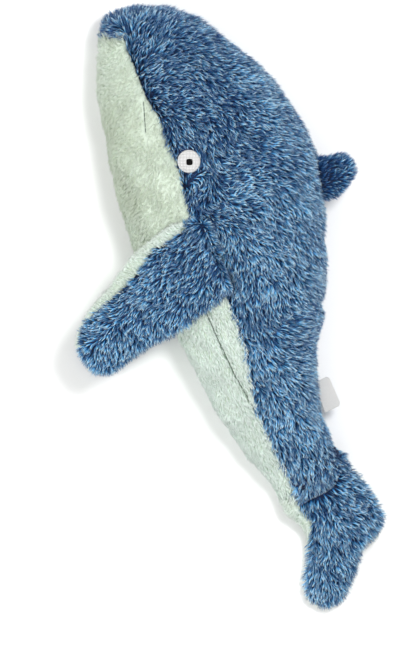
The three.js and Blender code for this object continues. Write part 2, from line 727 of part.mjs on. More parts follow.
function pleats() {
  const low = squeakerBaseHeight + seamGap;
  const step = squeakerBellowsHeight / (2 * squeakerPleats);
  const outer = [];
  const inner = [];
  for (let i = 0; i <= 2 * squeakerPleats; i += 1) {
    const radius = squeakerRadius - (i % 2) * squeakerPleatDepth;
    outer.push([radius, low + i * step]);
    inner.unshift([radius - squeakerWall, low + i * step]);
  }
  return turnedShape([...outer, ...inner, outer[0]], roundStepCount);
}
const topLow = squeakerBaseHeight + squeakerBellowsHeight + 2 * seamGap;
const squeakerTop = turnedShape([
  [0, topLow + squeakerTopHeight - squeakerWall],
  [squeakerFootRadius - squeakerWall, topLow + squeakerTopHeight - squeakerWall],
  [squeakerRadius - squeakerWall, topLow + squeakerTopHeight / 2 - squeakerWall],
  [squeakerRadius - squeakerWall, topLow],
  [squeakerRadius, topLow], [squeakerRadius, topLow + squeakerTopHeight / 2],
  [squeakerFootRadius, topLow + squeakerTopHeight], [0, topLow + squeakerTopHeight],
], roundStepCount);
const holderLow = squeakerWall + seamGap + reedFlangeHeight - reedHolderHeight;
const reedHolder = turnedShape([
  [reedHolderBore, holderLow + reedStep], [reedHolderBore - reedStep, holderLow + reedStep],
  [reedHolderBore - reedStep, holderLow], [reedHolderRadius, holderLow],
  [reedHolderRadius, squeakerWall + seamGap], [reedFlangeRadius, squeakerWall + seamGap],
  [reedFlangeRadius, squeakerWall + seamGap + reedFlangeHeight],
  [reedHolderBore, squeakerWall + seamGap + reedFlangeHeight], [reedHolderBore, holderLow + reedStep],
], roundStepCount);
const reedLow = holderLow + reedStep + seamGap;
const reed = block(
  new THREE.Vector3(-reedWidth / 2, -reedThickness / 2, reedLow),
  new THREE.Vector3(reedWidth / 2, reedThickness / 2, reedLow + reedLength),
);
squeaker.add(
  piece('squeaker_base', squeakerBase, looks.squeakerPlastic),
  piece('squeaker_bellows', pleats(), looks.squeakerPlastic),
  piece('squeaker_top', squeakerTop, looks.squeakerPlastic),
  piece('squeaker_reed_holder', reedHolder, looks.reedPlastic),
  piece('squeaker_reed', reed, looks.reedPlastic),
);

// Room for the squeaker inside the fill, and the fill in four parts
const squeakerRoom = placed(turnedShape([
  [0, holderLow - seamGap], [holderBore, holderLow - seamGap], [holderBore, -seamGap],
  [squeakerRadius + seamGap, -seamGap], [squeakerRadius + seamGap, squeakerHeight + seamGap],
  [0, squeakerHeight + seamGap],
], roundStepCount), squeaker.matrix);
const fill = innerSolid(panelThickness + seamGap).subtract(squeakerRoom);

function band(fromShare, toShare) {
  return block(
    new THREE.Vector3(-stock, -toShare * bodyLength + seamGap / 2, -stock),
    new THREE.Vector3(stock, -fromShare * bodyLength - seamGap / 2, stock),
  );
}
const chest = fill.intersect(band(neckShare, waistShare));
toy.add(
  piece('head_stuffing', fill.intersect(band(-farShare, neckShare)), looks.fill),
  piece('chest_stuffing_left', chest.subtract(wideLowerHalf), looks.fill),
  piece('chest_stuffing_right', chest.intersect(upperHalf), looks.fill),
  piece('tail_stuffing', fill.intersect(band(waistShare, farShare)), looks.fill),
);

// The origin is the middle of the resting side, under the middle of the whole toy
const box = new THREE.Box3().setFromObject(toy, true);
toy.position.set(-(box.min.x + box.max.x) / 2, -(box.min.y + box.max.y) / 2, -box.min.z);
toy.updateMatrixWorld(true);

export default toy;
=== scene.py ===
import json
import math
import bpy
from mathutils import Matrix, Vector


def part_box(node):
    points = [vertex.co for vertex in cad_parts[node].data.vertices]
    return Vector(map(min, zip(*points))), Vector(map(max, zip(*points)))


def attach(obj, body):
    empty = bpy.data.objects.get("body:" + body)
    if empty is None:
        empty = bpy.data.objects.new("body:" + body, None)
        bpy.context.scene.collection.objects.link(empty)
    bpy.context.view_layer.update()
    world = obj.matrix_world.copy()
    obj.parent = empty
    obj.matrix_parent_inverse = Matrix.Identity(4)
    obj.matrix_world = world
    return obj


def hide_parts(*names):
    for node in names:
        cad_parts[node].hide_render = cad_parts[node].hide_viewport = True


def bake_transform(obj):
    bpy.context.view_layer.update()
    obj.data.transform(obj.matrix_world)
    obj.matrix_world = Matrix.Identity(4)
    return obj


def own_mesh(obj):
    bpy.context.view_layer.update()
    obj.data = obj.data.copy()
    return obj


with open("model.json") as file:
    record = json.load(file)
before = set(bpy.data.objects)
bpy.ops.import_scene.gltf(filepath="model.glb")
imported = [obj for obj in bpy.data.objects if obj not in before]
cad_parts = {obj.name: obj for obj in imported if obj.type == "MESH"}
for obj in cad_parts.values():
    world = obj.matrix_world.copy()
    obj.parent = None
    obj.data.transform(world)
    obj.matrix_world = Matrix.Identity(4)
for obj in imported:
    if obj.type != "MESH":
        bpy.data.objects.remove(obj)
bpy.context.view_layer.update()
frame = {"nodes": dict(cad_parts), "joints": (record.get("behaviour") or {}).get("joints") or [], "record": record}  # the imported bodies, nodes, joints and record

from types import SimpleNamespace

import bmesh
import bpy
import numpy as np
from mathutils import Vector
from mathutils.bvhtree import BVHTree

# The toy lies on its right flank. +Y runs from the tail to the head, +X from the belly to the back.

SCENE = bpy.context.scene
NODES = frame["nodes"]
JOINTS = {joint["name"]: joint for joint in frame["joints"]}
SLOT_OF = {part["node"]: part["material_slot"] for part in frame["record"]["subparts"]}

# Units and the photograph's frame

MM = 0.001
PIXEL = 0.6425 * MM  # real size of one pixel of the photograph
FRAME_PIXELS = (416, 650)
ORIGIN_PIXEL = (231.0, 307.5)  # the pixel over the frame's origin
FLOOR_GAP = 0.3 * MM  # how far the pile stays above the floor
TINY = 1e-30  # keeps a division by a length of zero away
SIDES = ("left", "right")

# The body's panels, which wear the pile, and what fills them

BODY_PANELS = (
    "side_panel_left", "side_panel_right", "throat_panel_left", "throat_panel_right", "belly_panel",
)
BODY_FILLING = ("head_stuffing", "chest_stuffing_left", "chest_stuffing_right", "tail_stuffing")

# Pile: lengths in millimetres, angles in degrees, and the kinds of lock by share, tone and its spread

LONG_PILE = SimpleNamespace(
    slot="long_pile", length=6.8, spacing=1.0, strands=4, spread=0.56, gather=0.88, width=0.44,
    lie=16.0, rise=36.0, most=44.0, sway=20.0, curl=0.14, rings=(0.0, 0.4, 0.75),
    depth=4.2, chunk=12000, mottle=0.08, overlap=0.3,
    # The first, light kind of lock, near white at its tips, is partly painted highlight streaks.
    locks=((0.22, 0.9, 0.04), (0.4, 0.4, 0.1), (0.38, 0.1, 0.05)),
    stray=0.22,  # how far the strands' tones stray from that of their lock
)
SHORT_PILE = SimpleNamespace(
    slot="short_pile", length=5.0, spacing=1.2, strands=5, spread=0.9, gather=0.3, width=0.42,
    lie=5.0, rise=20.0, most=30.0, sway=10.0, curl=0.1, rings=(0.0, 0.55),
    depth=2.1, chunk=19000, mottle=0.06, overlap=0.0,
    locks=((0.5, 0.58, 0.06), (0.5, 0.42, 0.06)), stray=0.07,
)
PILES = {"long_pile": LONG_PILE, "short_pile": SHORT_PILE}

# How much the locks differ, and the strands in them: waves in metres, angles in degrees

LOCK = SimpleNamespace(
    open_normal=0.35, way_noise=0.05, sway_wave=14 * MM, sway_ripple=0.7, sway_noise=0.75,
    lie_noise=5.0, length_wave=20 * MM, length_ripple=0.12, lengths=(0.8, 1.15),
    rim_cut=0.16, rim_leans=(0.5, 1.2), joined_growth=0.15, joined_lift=0.7,
    tone_wave=24 * MM, bright=0.75, bright_rise=8.0, seam_rise=95.0,
)
STRAND = SimpleNamespace(
    root_depth=0.5 * MM, tones=(0.03, 0.97), rises=(0.7, 1.3), lengths=(0.82, 1.1), curl_noise=0.5,
    widths=(0.75, 1.2), bold=0.8, bold_growth=0.3, least_bend=0.01, gather_power=1.3, taper=0.55,
    middle=0.55, shortest=0.3,
)

# How the pile is combed: pixel across, pixel down, then the lie to the right and downwards

BODY_COMB = (
    (103, 20, -0.7, -0.7), (110, 32, -0.9, 0.3), (125, 15, 0.1, -1), (140, 20, 0.4, -0.9),
    (155, 25, 0.6, -0.8), (170, 20, 0.9, -0.4), (185, 25, 1, -0.1), (200, 35, 1, 0.2),
    (220, 45, 1, 0.3), (140, 50, 0.5, -0.85), (145, 85, 0.6, -0.6), (150, 75, 0.9, -0.3),
    (175, 75, 1, 0), (190, 70, 0.9, 0.4), (205, 85, 0.8, 0.6), (160, 100, 1, 0.1),
    (215, 50, 1, 0.35), (240, 60, 1, 0.3), (205, 75, 0.7, 0.7), (230, 75, 1, 0.4),
    (260, 90, 1, 0.3), (285, 95, 0.9, 0.3), (200, 110, 0.9, 0.1), (190, 105, 1, 0.2),
    (215, 130, 0.5, 0.85), (235, 130, 0.6, 0.8), (255, 125, 0.9, 0.5), (275, 125, 0.9, 0.4),
    (300, 130, 0.8, 0.6), (205, 150, 0.3, 0.95), (250, 150, 0.8, 0.3), (250, 170, 1, -0.2),
    (290, 150, 0.9, 0.5), (310, 165, 0.8, 0.6), (165, 130, 0.6, 0.8), (175, 140, 0.5, 0.85),
    (200, 130, 0.6, 0.8), (210, 150, 0.35, 0.95), (195, 180, 0.2, 1), (190, 200, 0.1, 1),
    (205, 190, -0.1, 1), (215, 215, 1, 0.05), (235, 165, 1, -0.15), (245, 185, 1, -0.3),
    (265, 160, 0.9, 0.2), (290, 165, 0.75, 0.6), (310, 180, 0.7, 0.7), (245, 195, 0.9, -0.3),
    (275, 200, 0.6, 0.8), (290, 215, 0.6, 0.8), (310, 215, 0.6, 0.7), (235, 215, 0.8, 0.5),
    (230, 240, 0.1, 1), (250, 235, 0.7, 0.7), (270, 250, 0.7, 0.7), (300, 250, 0.5, 0.85),
    (315, 250, 0.45, 0.9), (235, 265, 0.1, 1), (260, 270, 0.3, 0.9), (290, 275, 0.35, 0.9),
    (315, 275, 0.6, 0.7), (235, 300, -0.3, 0.9), (250, 300, -0.1, 1), (270, 300, 0.15, 1),
    (300, 300, 0.5, 0.85), (320, 305, 0.9, 0.6), (300, 318, 0.95, -0.3), (305, 342, 1, 0.1),
    (300, 360, 0.9, 0.3), (255, 350, 0.4, 0.9), (250, 380, 0.3, 0.95), (270, 375, 0.6, 0.8),
    (290, 380, 0.8, 0.6), (300, 400, 0.5, 0.85), (265, 410, 0.2, 1), (290, 420, 0.3, 0.95),
    (310, 430, 0.4, 0.9), (280, 445, 0.5, 0.85), (300, 455, 0.25, 0.97), (315, 460, 0.3, 0.95),
    (300, 480, 0.1, 1), (325, 470, 0.2, 1), (320, 490, 0.1, 1), (185, 176, -0.2, -1),
    (193, 176, 0.2, -1),
)
BELLY_COMB = (
    (110, 37, 0.1, -1), (119, 38, 0.2, -1), (104, 42, -0.7, -0.5), (126, 50, -0.2, 0.9),
    (100, 60, -1, 0.2), (98, 90, -0.9, 0.4), (115, 60, -0.6, 0.5), (120, 110, -0.6, 0.8),
    (110, 150, -0.8, 0.6), (140, 170, -0.5, 0.85), (165, 160, -0.4, 0.9), (130, 210, -0.6, 0.8),
    (160, 210, -0.4, 0.9), (190, 330, 0.3, 0.95), (215, 330, 0.5, 0.85), (200, 380, 0.3, 0.95),
    (240, 390, 0.5, 0.85), (240, 440, 0.4, 0.9), (265, 450, 0.5, 0.85), (280, 490, 0.5, 0.85),
)
FIN_COMB = (
    (200, 235, -0.4, 0.9), (185, 240, -0.8, 0.6), (170, 255, -0.75, 0.65), (150, 270, -0.8, 0.6),
    (130, 290, -0.85, 0.5), (110, 305, -0.9, 0.4), (95, 320, -0.95, 0.3), (90, 335, -0.9, -0.1),
    (190, 265, -0.5, 0.85), (200, 275, -0.4, 0.9), (215, 285, -0.2, 1), (180, 290, -0.5, 0.85),
    (160, 300, -0.6, 0.8), (140, 310, -0.6, 0.8), (150, 330, 0.05, 1), (130, 335, 0.2, 0.95),
    (120, 345, 0, 1), (100, 350, -0.1, 1), (90, 355, -0.3, 0.9),
)
FIN_BAND_COMB = (
    (190, 221, -0.8, -0.4), (160, 238, -0.75, -0.5), (130, 270, -0.8, -0.5), (100, 305, -0.8, -0.5),
    (80, 335, -1, 0), (150, 290, -0.8, 0.2), (120, 340, -0.6, 0.7), (180, 310, -0.4, 0.9),
)
DORSAL_COMB = ((335, 165, 0.8, -0.6), (345, 175, 0.9, -0.3), (345, 190, 0.8, 0.4))
FLUKE_COMB = (
    (318, 478, 0.15, 1), (332, 462, 0.35, 0.95), (300, 492, 0.1, 1), (345, 462, 0.5, 0.85),
    (324, 484, 0.15, 1),
    (345, 480, 0.95, 0.3), (355, 490, 0.9, 0.4), (340, 495, 0.8, 0.6), (330, 500, 0.6, 0.8),
    (310, 505, 0.2, 1), (350, 515, 0.75, 0.65), (375, 515, 0.7, 0.7), (380, 525, 0.6, 0.8),
    (330, 530, 0.3, 0.95), (345, 540, 0.6, 0.8), (320, 550, 0, 1), (312, 530, -0.1, 1),
    (315, 560, -0.2, 1), (310, 590, -0.1, 1), (330, 570, 0.1, 1), (345, 560, 0.5, 0.85),
    (335, 600, 0.2, 1), (320, 600, 0, 1),
)
FLUKE_BAND_COMB = ((300, 520, -0.5, 0.85), (306, 545, -0.4, 0.9), (330, 520, 0.2, 1), (330, 580, 0, 1))

# How light the pile is: pixel across, pixel down, then the share that is added. Some tables also hold
# painted shade and painted light.

# The darker rows along the body's two upper folds are painted shade in the creases, and the lighter rows on
# the ridge between them are painted light.
BODY_TONE_AND_SHADE = (
    (120, 20, -0.14), (170, 40, -0.16), (180, 90, -0.14), (150, 70, -0.16), (210, 150, -0.06),
    (250, 110, -0.04), (300, 140, 0.02), (240, 180, 0.02), (290, 200, 0.04), (315, 230, 0.04),
    (250, 260, 0.04), (315, 290, 0.02), (225, 99, -0.18), (237, 122, -0.16), (252, 138, -0.14),
    (270, 156, -0.14), (205, 65, -0.14), (244, 78, 0.04), (266, 100, 0.1), (277, 125, 0.12),
    (280, 142, 0.1), (285, 112, -0.1), (293, 134, -0.1), (202, 178, -0.14), (290, 330, 0.02),
    (280, 380, 0.1), (300, 420, 0.1), (290, 460, 0.06), (325, 470, 0.0),
)
# Darker rows at the head's left edge and on the throat are painted shade; lighter rows on the lower belly
# are painted light.
BELLY_LIGHT_AND_SHADE = (
    (100, 70, -0.16), (108, 130, -0.42), (120, 80, -0.16), (130, 120, -0.36), (140, 160, -0.3),
    (120, 190, -0.42), (160, 200, -0.34), (175, 190, -0.3), (140, 245, -0.28), (150, 265, -0.12),
    (162, 285, 0.1), (178, 305, 0.3), (200, 290, 0.2), (190, 330, 0.45), (220, 370, 0.5),
    (240, 420, 0.5), (270, 480, 0.5),
)
FIN_TONES = ((190, 240, -0.04), (190, 280, -0.08), (150, 290, 0.0), (110, 320, 0.06), (90, 345, 0.08))
FIN_BAND_TONES = ((190, 221, 0.3), (100, 305, 0.2), (150, 330, 0.1))
# Darker towards the fin's root: painted shade where the body's edge overlaps it.
DORSAL_ROOT_SHADE = ((328, 175, -0.6), (334, 175, -0.4), (342, 175, -0.16), (353, 168, -0.06))
FLUKE_TONES = (
    (318, 480, 0.04), (335, 465, 0.04), (310, 505, -0.04), (350, 510, 0.04), (330, 560, 0.08),
    (320, 600, 0.04),
)
FLUKE_BAND_TONES = ((300, 530, 0.2), (330, 560, 0.0))

# Seams of the short pile, where it parts, as pixels along each one

SEAMS = (
    ((143.6, 102), (144.7, 122), (146, 138)),
    ((206, 313), (217, 338), (226, 357), (235, 376), (247.5, 398), (255.5, 411)),
    ((289, 488.5), (297, 495.5)),
)

# Creases that the long pile doesn't cross, as pixels along each one

CREASES = (
    ((299, 505), (308, 499), (323, 492), (334, 485), (337, 476)),
    ((215, 254), (222, 264), (228, 278), (231.5, 291), (230, 299)),
)
CREASE_HALF = 0.25 * MM  # no strand is rooted this close to a seam or crease
CREASE_LAP = {"long_pile": 1.5 * MM, "short_pile": 0.2 * MM}  # how far tips may cross it

# Folds of the filled body: depth and half width in millimetres, then pixels along each one

FOLDS = (
    (2.2, 4.0, ((203, 62), (225, 99), (236, 122), (252, 137), (270, 155), (286, 176))),
    (1.2, 3.0, ((268, 84), (283, 108), (292, 132), (299, 152))),
    (1.1, 1.5, ((123.5, 176), (127, 190), (132.5, 209), (137.6, 225), (143.7, 244))),
    (0.5, 1.2, ((128, 178), (131, 195), (136, 211))),
    (2.2, 4.0, ((330, 301), (305, 306), (285, 318), (268, 331))),
    (2.6, 2.4, ((214, 252), (224, 268), (230, 285), (229, 298))),
    (2.4, 2.4, ((299, 505), (315, 497), (333, 489), (336, 474))),
    (1.2, 2.0, ((289, 489), (296, 495))),
)


# Small helpers


def place(px, py):
    """The plan position of a pixel of the photograph, in metres."""
    return (px - ORIGIN_PIXEL[0]) * PIXEL, (ORIGIN_PIXEL[1] - py) * PIXEL


def unit(vectors):
    """The vectors at length 1."""
    return vectors / np.maximum(np.linalg.norm(vectors, axis=-1, keepdims=True), TINY)


def dot(first, second):
    """The dot product of each pair of rows, as a column."""
    return np.sum(first * second, axis=-1, keepdims=True)


def smooth(values, low, high):
    """A smooth step from 0 at low to 1 at high."""
    share = np.clip((values - low) / (high - low), 0, 1)
    return share * share * (3 - 2 * share)


def ripple(points, seed, wave, waves=6, height=2.6):
    """A smooth random field between about -1 and 1, with that wavelength in metres."""
    rng = np.random.default_rng(seed)
    total = np.zeros(len(points))
    for _ in range(waves):
        way = unit(rng.normal(size=3)) * 2 * math.pi / (wave * rng.uniform(0.7, 1.5))
        total += np.sin(points @ way + rng.uniform(0, 2 * math.pi))
    return total / height


def new_object(name, data):
    """A new object in the scene."""
    obj = bpy.data.objects.new(name, data)
    SCENE.collection.objects.link(obj)
    return obj


def mesh_from(name, work):
    """A new mesh of what a bmesh holds."""
    mesh = bpy.data.meshes.new(name)
    work.to_mesh(mesh)
    work.free()
    return mesh


def applied(obj):
    """The object's mesh with its modifiers applied. The object itself goes."""
    source = obj.data
    bpy.context.view_layer.update()
    made = bpy.data.meshes.new_from_object(obj.evaluated_get(bpy.context.evaluated_depsgraph_get()))
    bpy.data.objects.remove(obj)
    bpy.data.meshes.remove(source)
    return made


def tree_gaps(tree, points):
    """The distance of each point from a tree's surface."""
    return np.array([tree.find_nearest(point)[3] for point in points.tolist()])


def line_of(pixels):
    """The plan positions of some pixels, as rows."""
    return np.array([place(*pixel) for pixel in pixels])


def colour(red, green, blue):
    """A linear colour from sRGB values out of 255."""
    linear = [((v / 255 + 0.055) / 1.055) ** 2.4 if v > 10 else v / 3294.6 for v in (red, green, blue)]
    return (*linear, 1.0)


# Materials

FIRST_COLOUR, SECOND_COLOUR, MIXED_COLOUR = 6, 7, 2  # the Mix node's sockets for colours
WAVE_SCALE = 0.314  # the wave texture's scale for one wave a metre


class Graph:
    """A node tree, with short ways to add nodes to it and to join them."""

    def __init__(self, tree):
        self.links = tree.links
        self.nodes = tree.nodes

    def add(self, kind, **values):
        """Adds a node, with values for its inputs and its settings."""
        node = self.nodes.new("ShaderNode" + kind)
        for name, value in values.items():
            if name in node.inputs:
                node.inputs[name].default_value = value
            else:
                setattr(node, name, value)
        return node

    def join(self, source, target):
        self.links.new(source, target)

    def background(self):
        """The socket that is 1 for rays that show the background: camera, glossy and transmission rays."""
        paths = self.add("LightPath")
        seen = paths.outputs["Is Camera Ray"]
        for kind in ("Is Glossy Ray", "Is Transmission Ray"):
            either = self.add("Math", operation="MAXIMUM")
            self.join(seen, either.inputs[0])
            self.join(paths.outputs[kind], either.inputs[1])
            seen = either.outputs[0]
        return seen

    def mix_shaders(self, share, first, second, output):
        """Shows the first shader where the share is 0, and the second where it is 1."""
        mix = self.add("MixShader")
        self.join(share, mix.inputs["Fac"])
        self.join(first.outputs[0], mix.inputs[1])
        self.join(second.outputs[0], mix.inputs[2])
        self.join(mix.outputs[0], self.nodes[output].inputs["Surface"])


class Shader(Graph):
    """A material with its Principled shader, and short ways to colour it."""

    def __init__(self, name, **sockets):
        self.material = bpy.data.materials.new(name)
        self.material.use_nodes = True
        super().__init__(self.material.node_tree)
        self.skin = self.nodes["Principled BSDF"]
        for socket, value in sockets.items():
            self.skin.inputs[socket.replace("_", " ")].default_value = value

    def ramp(self, fac, stops):
        """A colour ramp on fac, through (place, colour) stops."""
        node = self.add("ValToRGB")
        elements = node.color_ramp.elements
        while len(elements) < len(stops):
            elements.new(0.5)
        for element, (where, shade) in zip(elements, stops):
            element.position = where
            element.color = shade
        self.join(fac, node.inputs["Fac"])
        return node.outputs["Color"]

    def mix(self, fac, first, second):
        """A mix of two colours, all of the second one where fac is 1."""
        node = self.add("Mix", data_type="RGBA")
        self.join(fac, node.inputs["Factor"])
        self.join(first, node.inputs[FIRST_COLOUR])
        self.join(second, node.inputs[SECOND_COLOUR])
        return node.outputs[MIXED_COLOUR]

    def mottle(self, fac, stops):
        """Colours the shader by a colour ramp on fac."""
        self.join(self.ramp(fac, stops), self.skin.inputs["Base Color"])

    def noise(self, scale, detail=4.0):
        """A noise in the object's own space, with that many periods per metre."""
        where = self.add("TexCoord")
        node = self.add("TexNoise", Scale=scale, Detail=detail)
        self.join(where.outputs["Object"], node.inputs["Vector"])
        return node.outputs["Fac"]

    def bump(self, height, depth, strength=0.5):
        """Bumps of that depth in metres on the shader's surface."""
        node = self.add("Bump", Strength=strength, Distance=depth)
        self.join(height, node.inputs["Height"])
        self.join(node.outputs["Normal"], self.skin.inputs["Normal"])


def pile_material(name, dull, bright, **sockets):
    """Strands coloured from root to tip, between a dull and a bright run of colours."""
    shader = Shader(name, **sockets)
    uv = shader.add("UVMap", uv_map="OFBake")
    axes = shader.add("SeparateXYZ")
    shader.join(uv.outputs["UV"], axes.inputs[0])
    along = axes.outputs["Y"]
    shade = shader.mix(axes.outputs["X"], shader.ramp(along, dull), shader.ramp(along, bright))
    shader.join(shade, shader.skin.inputs["Base Color"])
    return shader.material


def cloth_material(name, low, high, scale, rough):
    """A knitted backing, mottled between two colours, with a fine bump."""
    shader = Shader(name, Roughness=rough)
    shader.mottle(shader.noise(scale), ((0.3, low), (0.7, high)))
    shader.bump(shader.noise(scale * 8, detail=2.0), depth=0.3 * MM)
    return shader.material


def thread_material(name, low, high, pitch, rough, gloss=0.5):
    """Woven or stitched thread: fine rows both ways, mottled between two colours."""
    shader = Shader(name, Roughness=rough, Specular_IOR_Level=gloss)
    where = shader.add("TexCoord")
    waves = []
    for direction in ("X", "Y"):
        wave = shader.add("TexWave", bands_direction=direction, Scale=WAVE_SCALE / pitch, Distortion=2.0)
        shader.join(where.outputs["Object"], wave.inputs["Vector"])
        waves.append(wave.outputs["Fac"])
    both = shader.add("Math", operation="MULTIPLY")
    shader.join(waves[0], both.inputs[0])
    shader.join(waves[1], both.inputs[1])
    shader.mottle(both.outputs[0], ((0.0, low), (0.6, high)))
    shader.bump(both.outputs[0], depth=0.15 * MM, strength=0.7)
    return shader.material


def plastic_material(name, low, high, rough):
    """Moulded plastic with a faint mottle and a fine grain."""
    shader = Shader(name, Roughness=rough)
    shader.mottle(shader.noise(scale=60.0), ((0.3, low), (0.7, high)))
    shader.bump(shader.noise(scale=2500.0, detail=2.0), depth=0.05 * MM, strength=0.3)
    return shader.material


# Blue pile: the near-black roots are painted shade deep between the strands; the near-white tips of the
# bright run are partly frosted fibre, partly painted highlight.
BLUE_PILE = pile_material(
    "blue_pile",
    ((0.0, colour(0, 8, 26)), (0.3, colour(2, 27, 59)),
     (0.65, colour(5, 56, 112)), (1.0, colour(16, 94, 170))),
    ((0.0, colour(9, 50, 99)), (0.3, colour(56, 143, 220)),
     (0.6, colour(134, 212, 255)), (0.92, colour(234, 252, 255))),
    Roughness=0.4, Specular_IOR_Level=0.25,
)
# Mint pile: the dull, greyer run carries the painted shade on the throat and the head's edge, the bright,
# near-white run the painted light on the lower belly.
MINT_PILE = pile_material(
    "mint_pile",
    ((0.0, colour(202, 213, 192)), (0.5, colour(210, 221, 202)), (1.0, colour(216, 226, 209))),
    ((0.0, colour(236, 252, 242)), (0.5, colour(243, 254, 248)), (1.0, colour(248, 255, 252))),
    Roughness=0.7, Specular_IOR_Level=0.2,
)
# Dark navy backing, darker than the pile: painted shade where it shows between the strands.
BLUE_SHADE_CLOTH = cloth_material("blue_shade_backing", colour(10, 22, 46), colour(22, 44, 84), scale=90.0, rough=0.9)
MINT_CLOTH = cloth_material(
    "mint_backing", colour(194, 207, 191), colour(208, 221, 206), scale=90.0, rough=0.9,
)
PILE_MATERIALS = {"long_pile": BLUE_PILE, "short_pile": MINT_PILE}
CLOTH_MATERIALS = {"long_pile": BLUE_SHADE_CLOTH, "short_pile": MINT_CLOTH}


# Meshes as arrays

TRIES = 4.5  # random points for each square of the spacing's size


def rows_of(items, name, kind):
    """A value of each of a mesh's items, as rows of three."""
    values = np.zeros(len(items) * 3, kind)
    items.foreach_get(name, values)
    return values.reshape(-1, 3)


class Surface:
    """A triangle mesh as arrays, with a tree that finds its nearest points."""

    def __init__(self, mesh):
        self.points = rows_of(mesh.vertices, "co", float)
        mesh.calc_loop_triangles()
        self.faces = rows_of(mesh.loop_triangles, "vertices", int)
        self.update()

    def update(self):
        """Works out the normals and the tree from the points."""
        corners = self.points[self.faces]
        self.crosses = np.cross(corners[:, 1] - corners[:, 0], corners[:, 2] - corners[:, 0])
        normals = np.zeros_like(self.points)
        for corner in range(3):
            np.add.at(normals, self.faces[:, corner], self.crosses)
        self.normals = unit(normals)
        self.tree = BVHTree.FromPolygons(self.points.tolist(), self.faces.tolist())

    def normals_at(self, places, faces):
        """Smooth normals at places on some faces."""
        corners = self.points[self.faces[faces]]
        shares = []
        for corner in range(3):
            ahead, behind = corners[:, (corner + 1) % 3], corners[:, (corner + 2) % 3]
            part = np.cross(ahead - places, behind - places)
            shares.append(np.maximum(dot(part, self.crosses[faces]), 0))
        shares = np.stack(shares, 1) + TINY
        return unit(np.sum(shares * self.normals[self.faces[faces]], axis=1))

    def nearest(self, points):
        """The nearest places on the surface, with their smooth normals and distances."""
        found = [self.tree.find_nearest(point) for point in points.tolist()]
        places = np.array([f[0] for f in found])
        faces = np.array([f[2] for f in found])
        return places, self.normals_at(places, faces), np.array([f[3] for f in found])

    def depth(self, points):
        """How far each point lies inside the surface, negative outside it."""
        places, normals, gaps = self.nearest(points)
        return np.where(dot(points - places, normals)[:, 0] < 0, gaps, -gaps)

    def scatter(self, spacing, rng):
        """Random points on the surface that keep at least that spacing, with their normals."""
        areas = np.linalg.norm(self.crosses, axis=1) / 2
        count = int(TRIES * areas.sum() / spacing**2)
        faces = rng.choice(len(areas), count, p=areas / areas.sum())
        first, second = rng.random((2, count, 1))
        over = first + second > 1
        first, second = np.where(over, 1 - first, first), np.where(over, 1 - second, second)
        a, b, c = (self.points[self.faces[faces, corner]] for corner in range(3))
        points = a + first * (b - a) + second * (c - a)
        kept = thin_out(points, spacing)
        return points[kept], self.normals_at(points[kept], faces[kept])


def thin_out(points, spacing):
    """Indices of points that keep that spacing from all those before them."""
    cells = np.floor(points / spacing).astype(int).tolist()
    steps = (-1, 0, 1)
    near = [(i, j, k) for i in steps for j in steps for k in steps]
    grid, kept, least = {}, [], spacing**2
    for index, ((x, y, z), (i, j, k)) in enumerate(zip(points.tolist(), cells)):
        others = [other for di, dj, dk in near for other in grid.get((i + di, j + dj, k + dk), ())]
        if all((qx - x) ** 2 + (qy - y) ** 2 + (qz - z) ** 2 >= least for qx, qy, qz in others):
            grid.setdefault((i, j, k), []).append((x, y, z))
            kept.append(index)
    return np.array(kept)


def remeshed(name, nodes, voxel, smoothing, one_piece=False):
    """A new mesh around some CAD nodes, rounded by a voxel remesh and smoothing."""
    joined = bmesh.new()
    for node in nodes:
        joined.from_mesh(NODES[node].data)
    obj = new_object(name, mesh_from(name, joined))
    remesh = obj.modifiers.new("round", "REMESH")
    remesh.mode = "VOXEL"
    remesh.voxel_size = voxel * MM
    ease = obj.modifiers.new("ease", "SMOOTH")
    ease.factor = 0.5
    ease.iterations = smoothing
    made = applied(obj)
    if one_piece:
        keep_largest(made)
    made.name = name
    return made


def keep_largest(mesh):
    """Deletes all but the mesh's largest connected part."""
    work = bmesh.new()
    work.from_mesh(mesh)
    left, groups = set(work.verts), []
    while left:
        group, front = set(), [left.pop()]
        while front:
            vert = front.pop()
            group.add(vert)
            for edge in vert.link_edges:
                other = edge.other_vert(vert)
                if other in left:
                    left.discard(other)
                    front.append(other)
        groups.append(group)
    largest = max(groups, key=len)
    bmesh.ops.delete(work, geom=[v for g in groups if g is not largest for v in g], context="VERTS")
    work.to_mesh(mesh)
    work.free()


# Where the backing lies under the pile


def line_side(points, pixels):
    """The plan distance of each point from a line through some pixels, negative on its right."""
    line = line_of(pixels)
    nearest = np.full(len(points), np.inf)
    for start, end in zip(line[:-1], line[1:]):
        run = end - start
        share = np.clip(((points[:, :2] - start) @ run) / (run @ run), 0, 1)
        off = points[:, :2] - start - share[:, None] * run
        gap = np.linalg.norm(off, axis=1) * np.where(run[0] * off[:, 1] < run[1] * off[:, 0], -1, 1)
        nearest = np.where(np.abs(gap) < np.abs(nearest), gap, nearest)
    return nearest


def line_gap(points, pixels):
    """The plan distance of each point from a line through some pixels."""
    return np.abs(line_side(points, pixels))


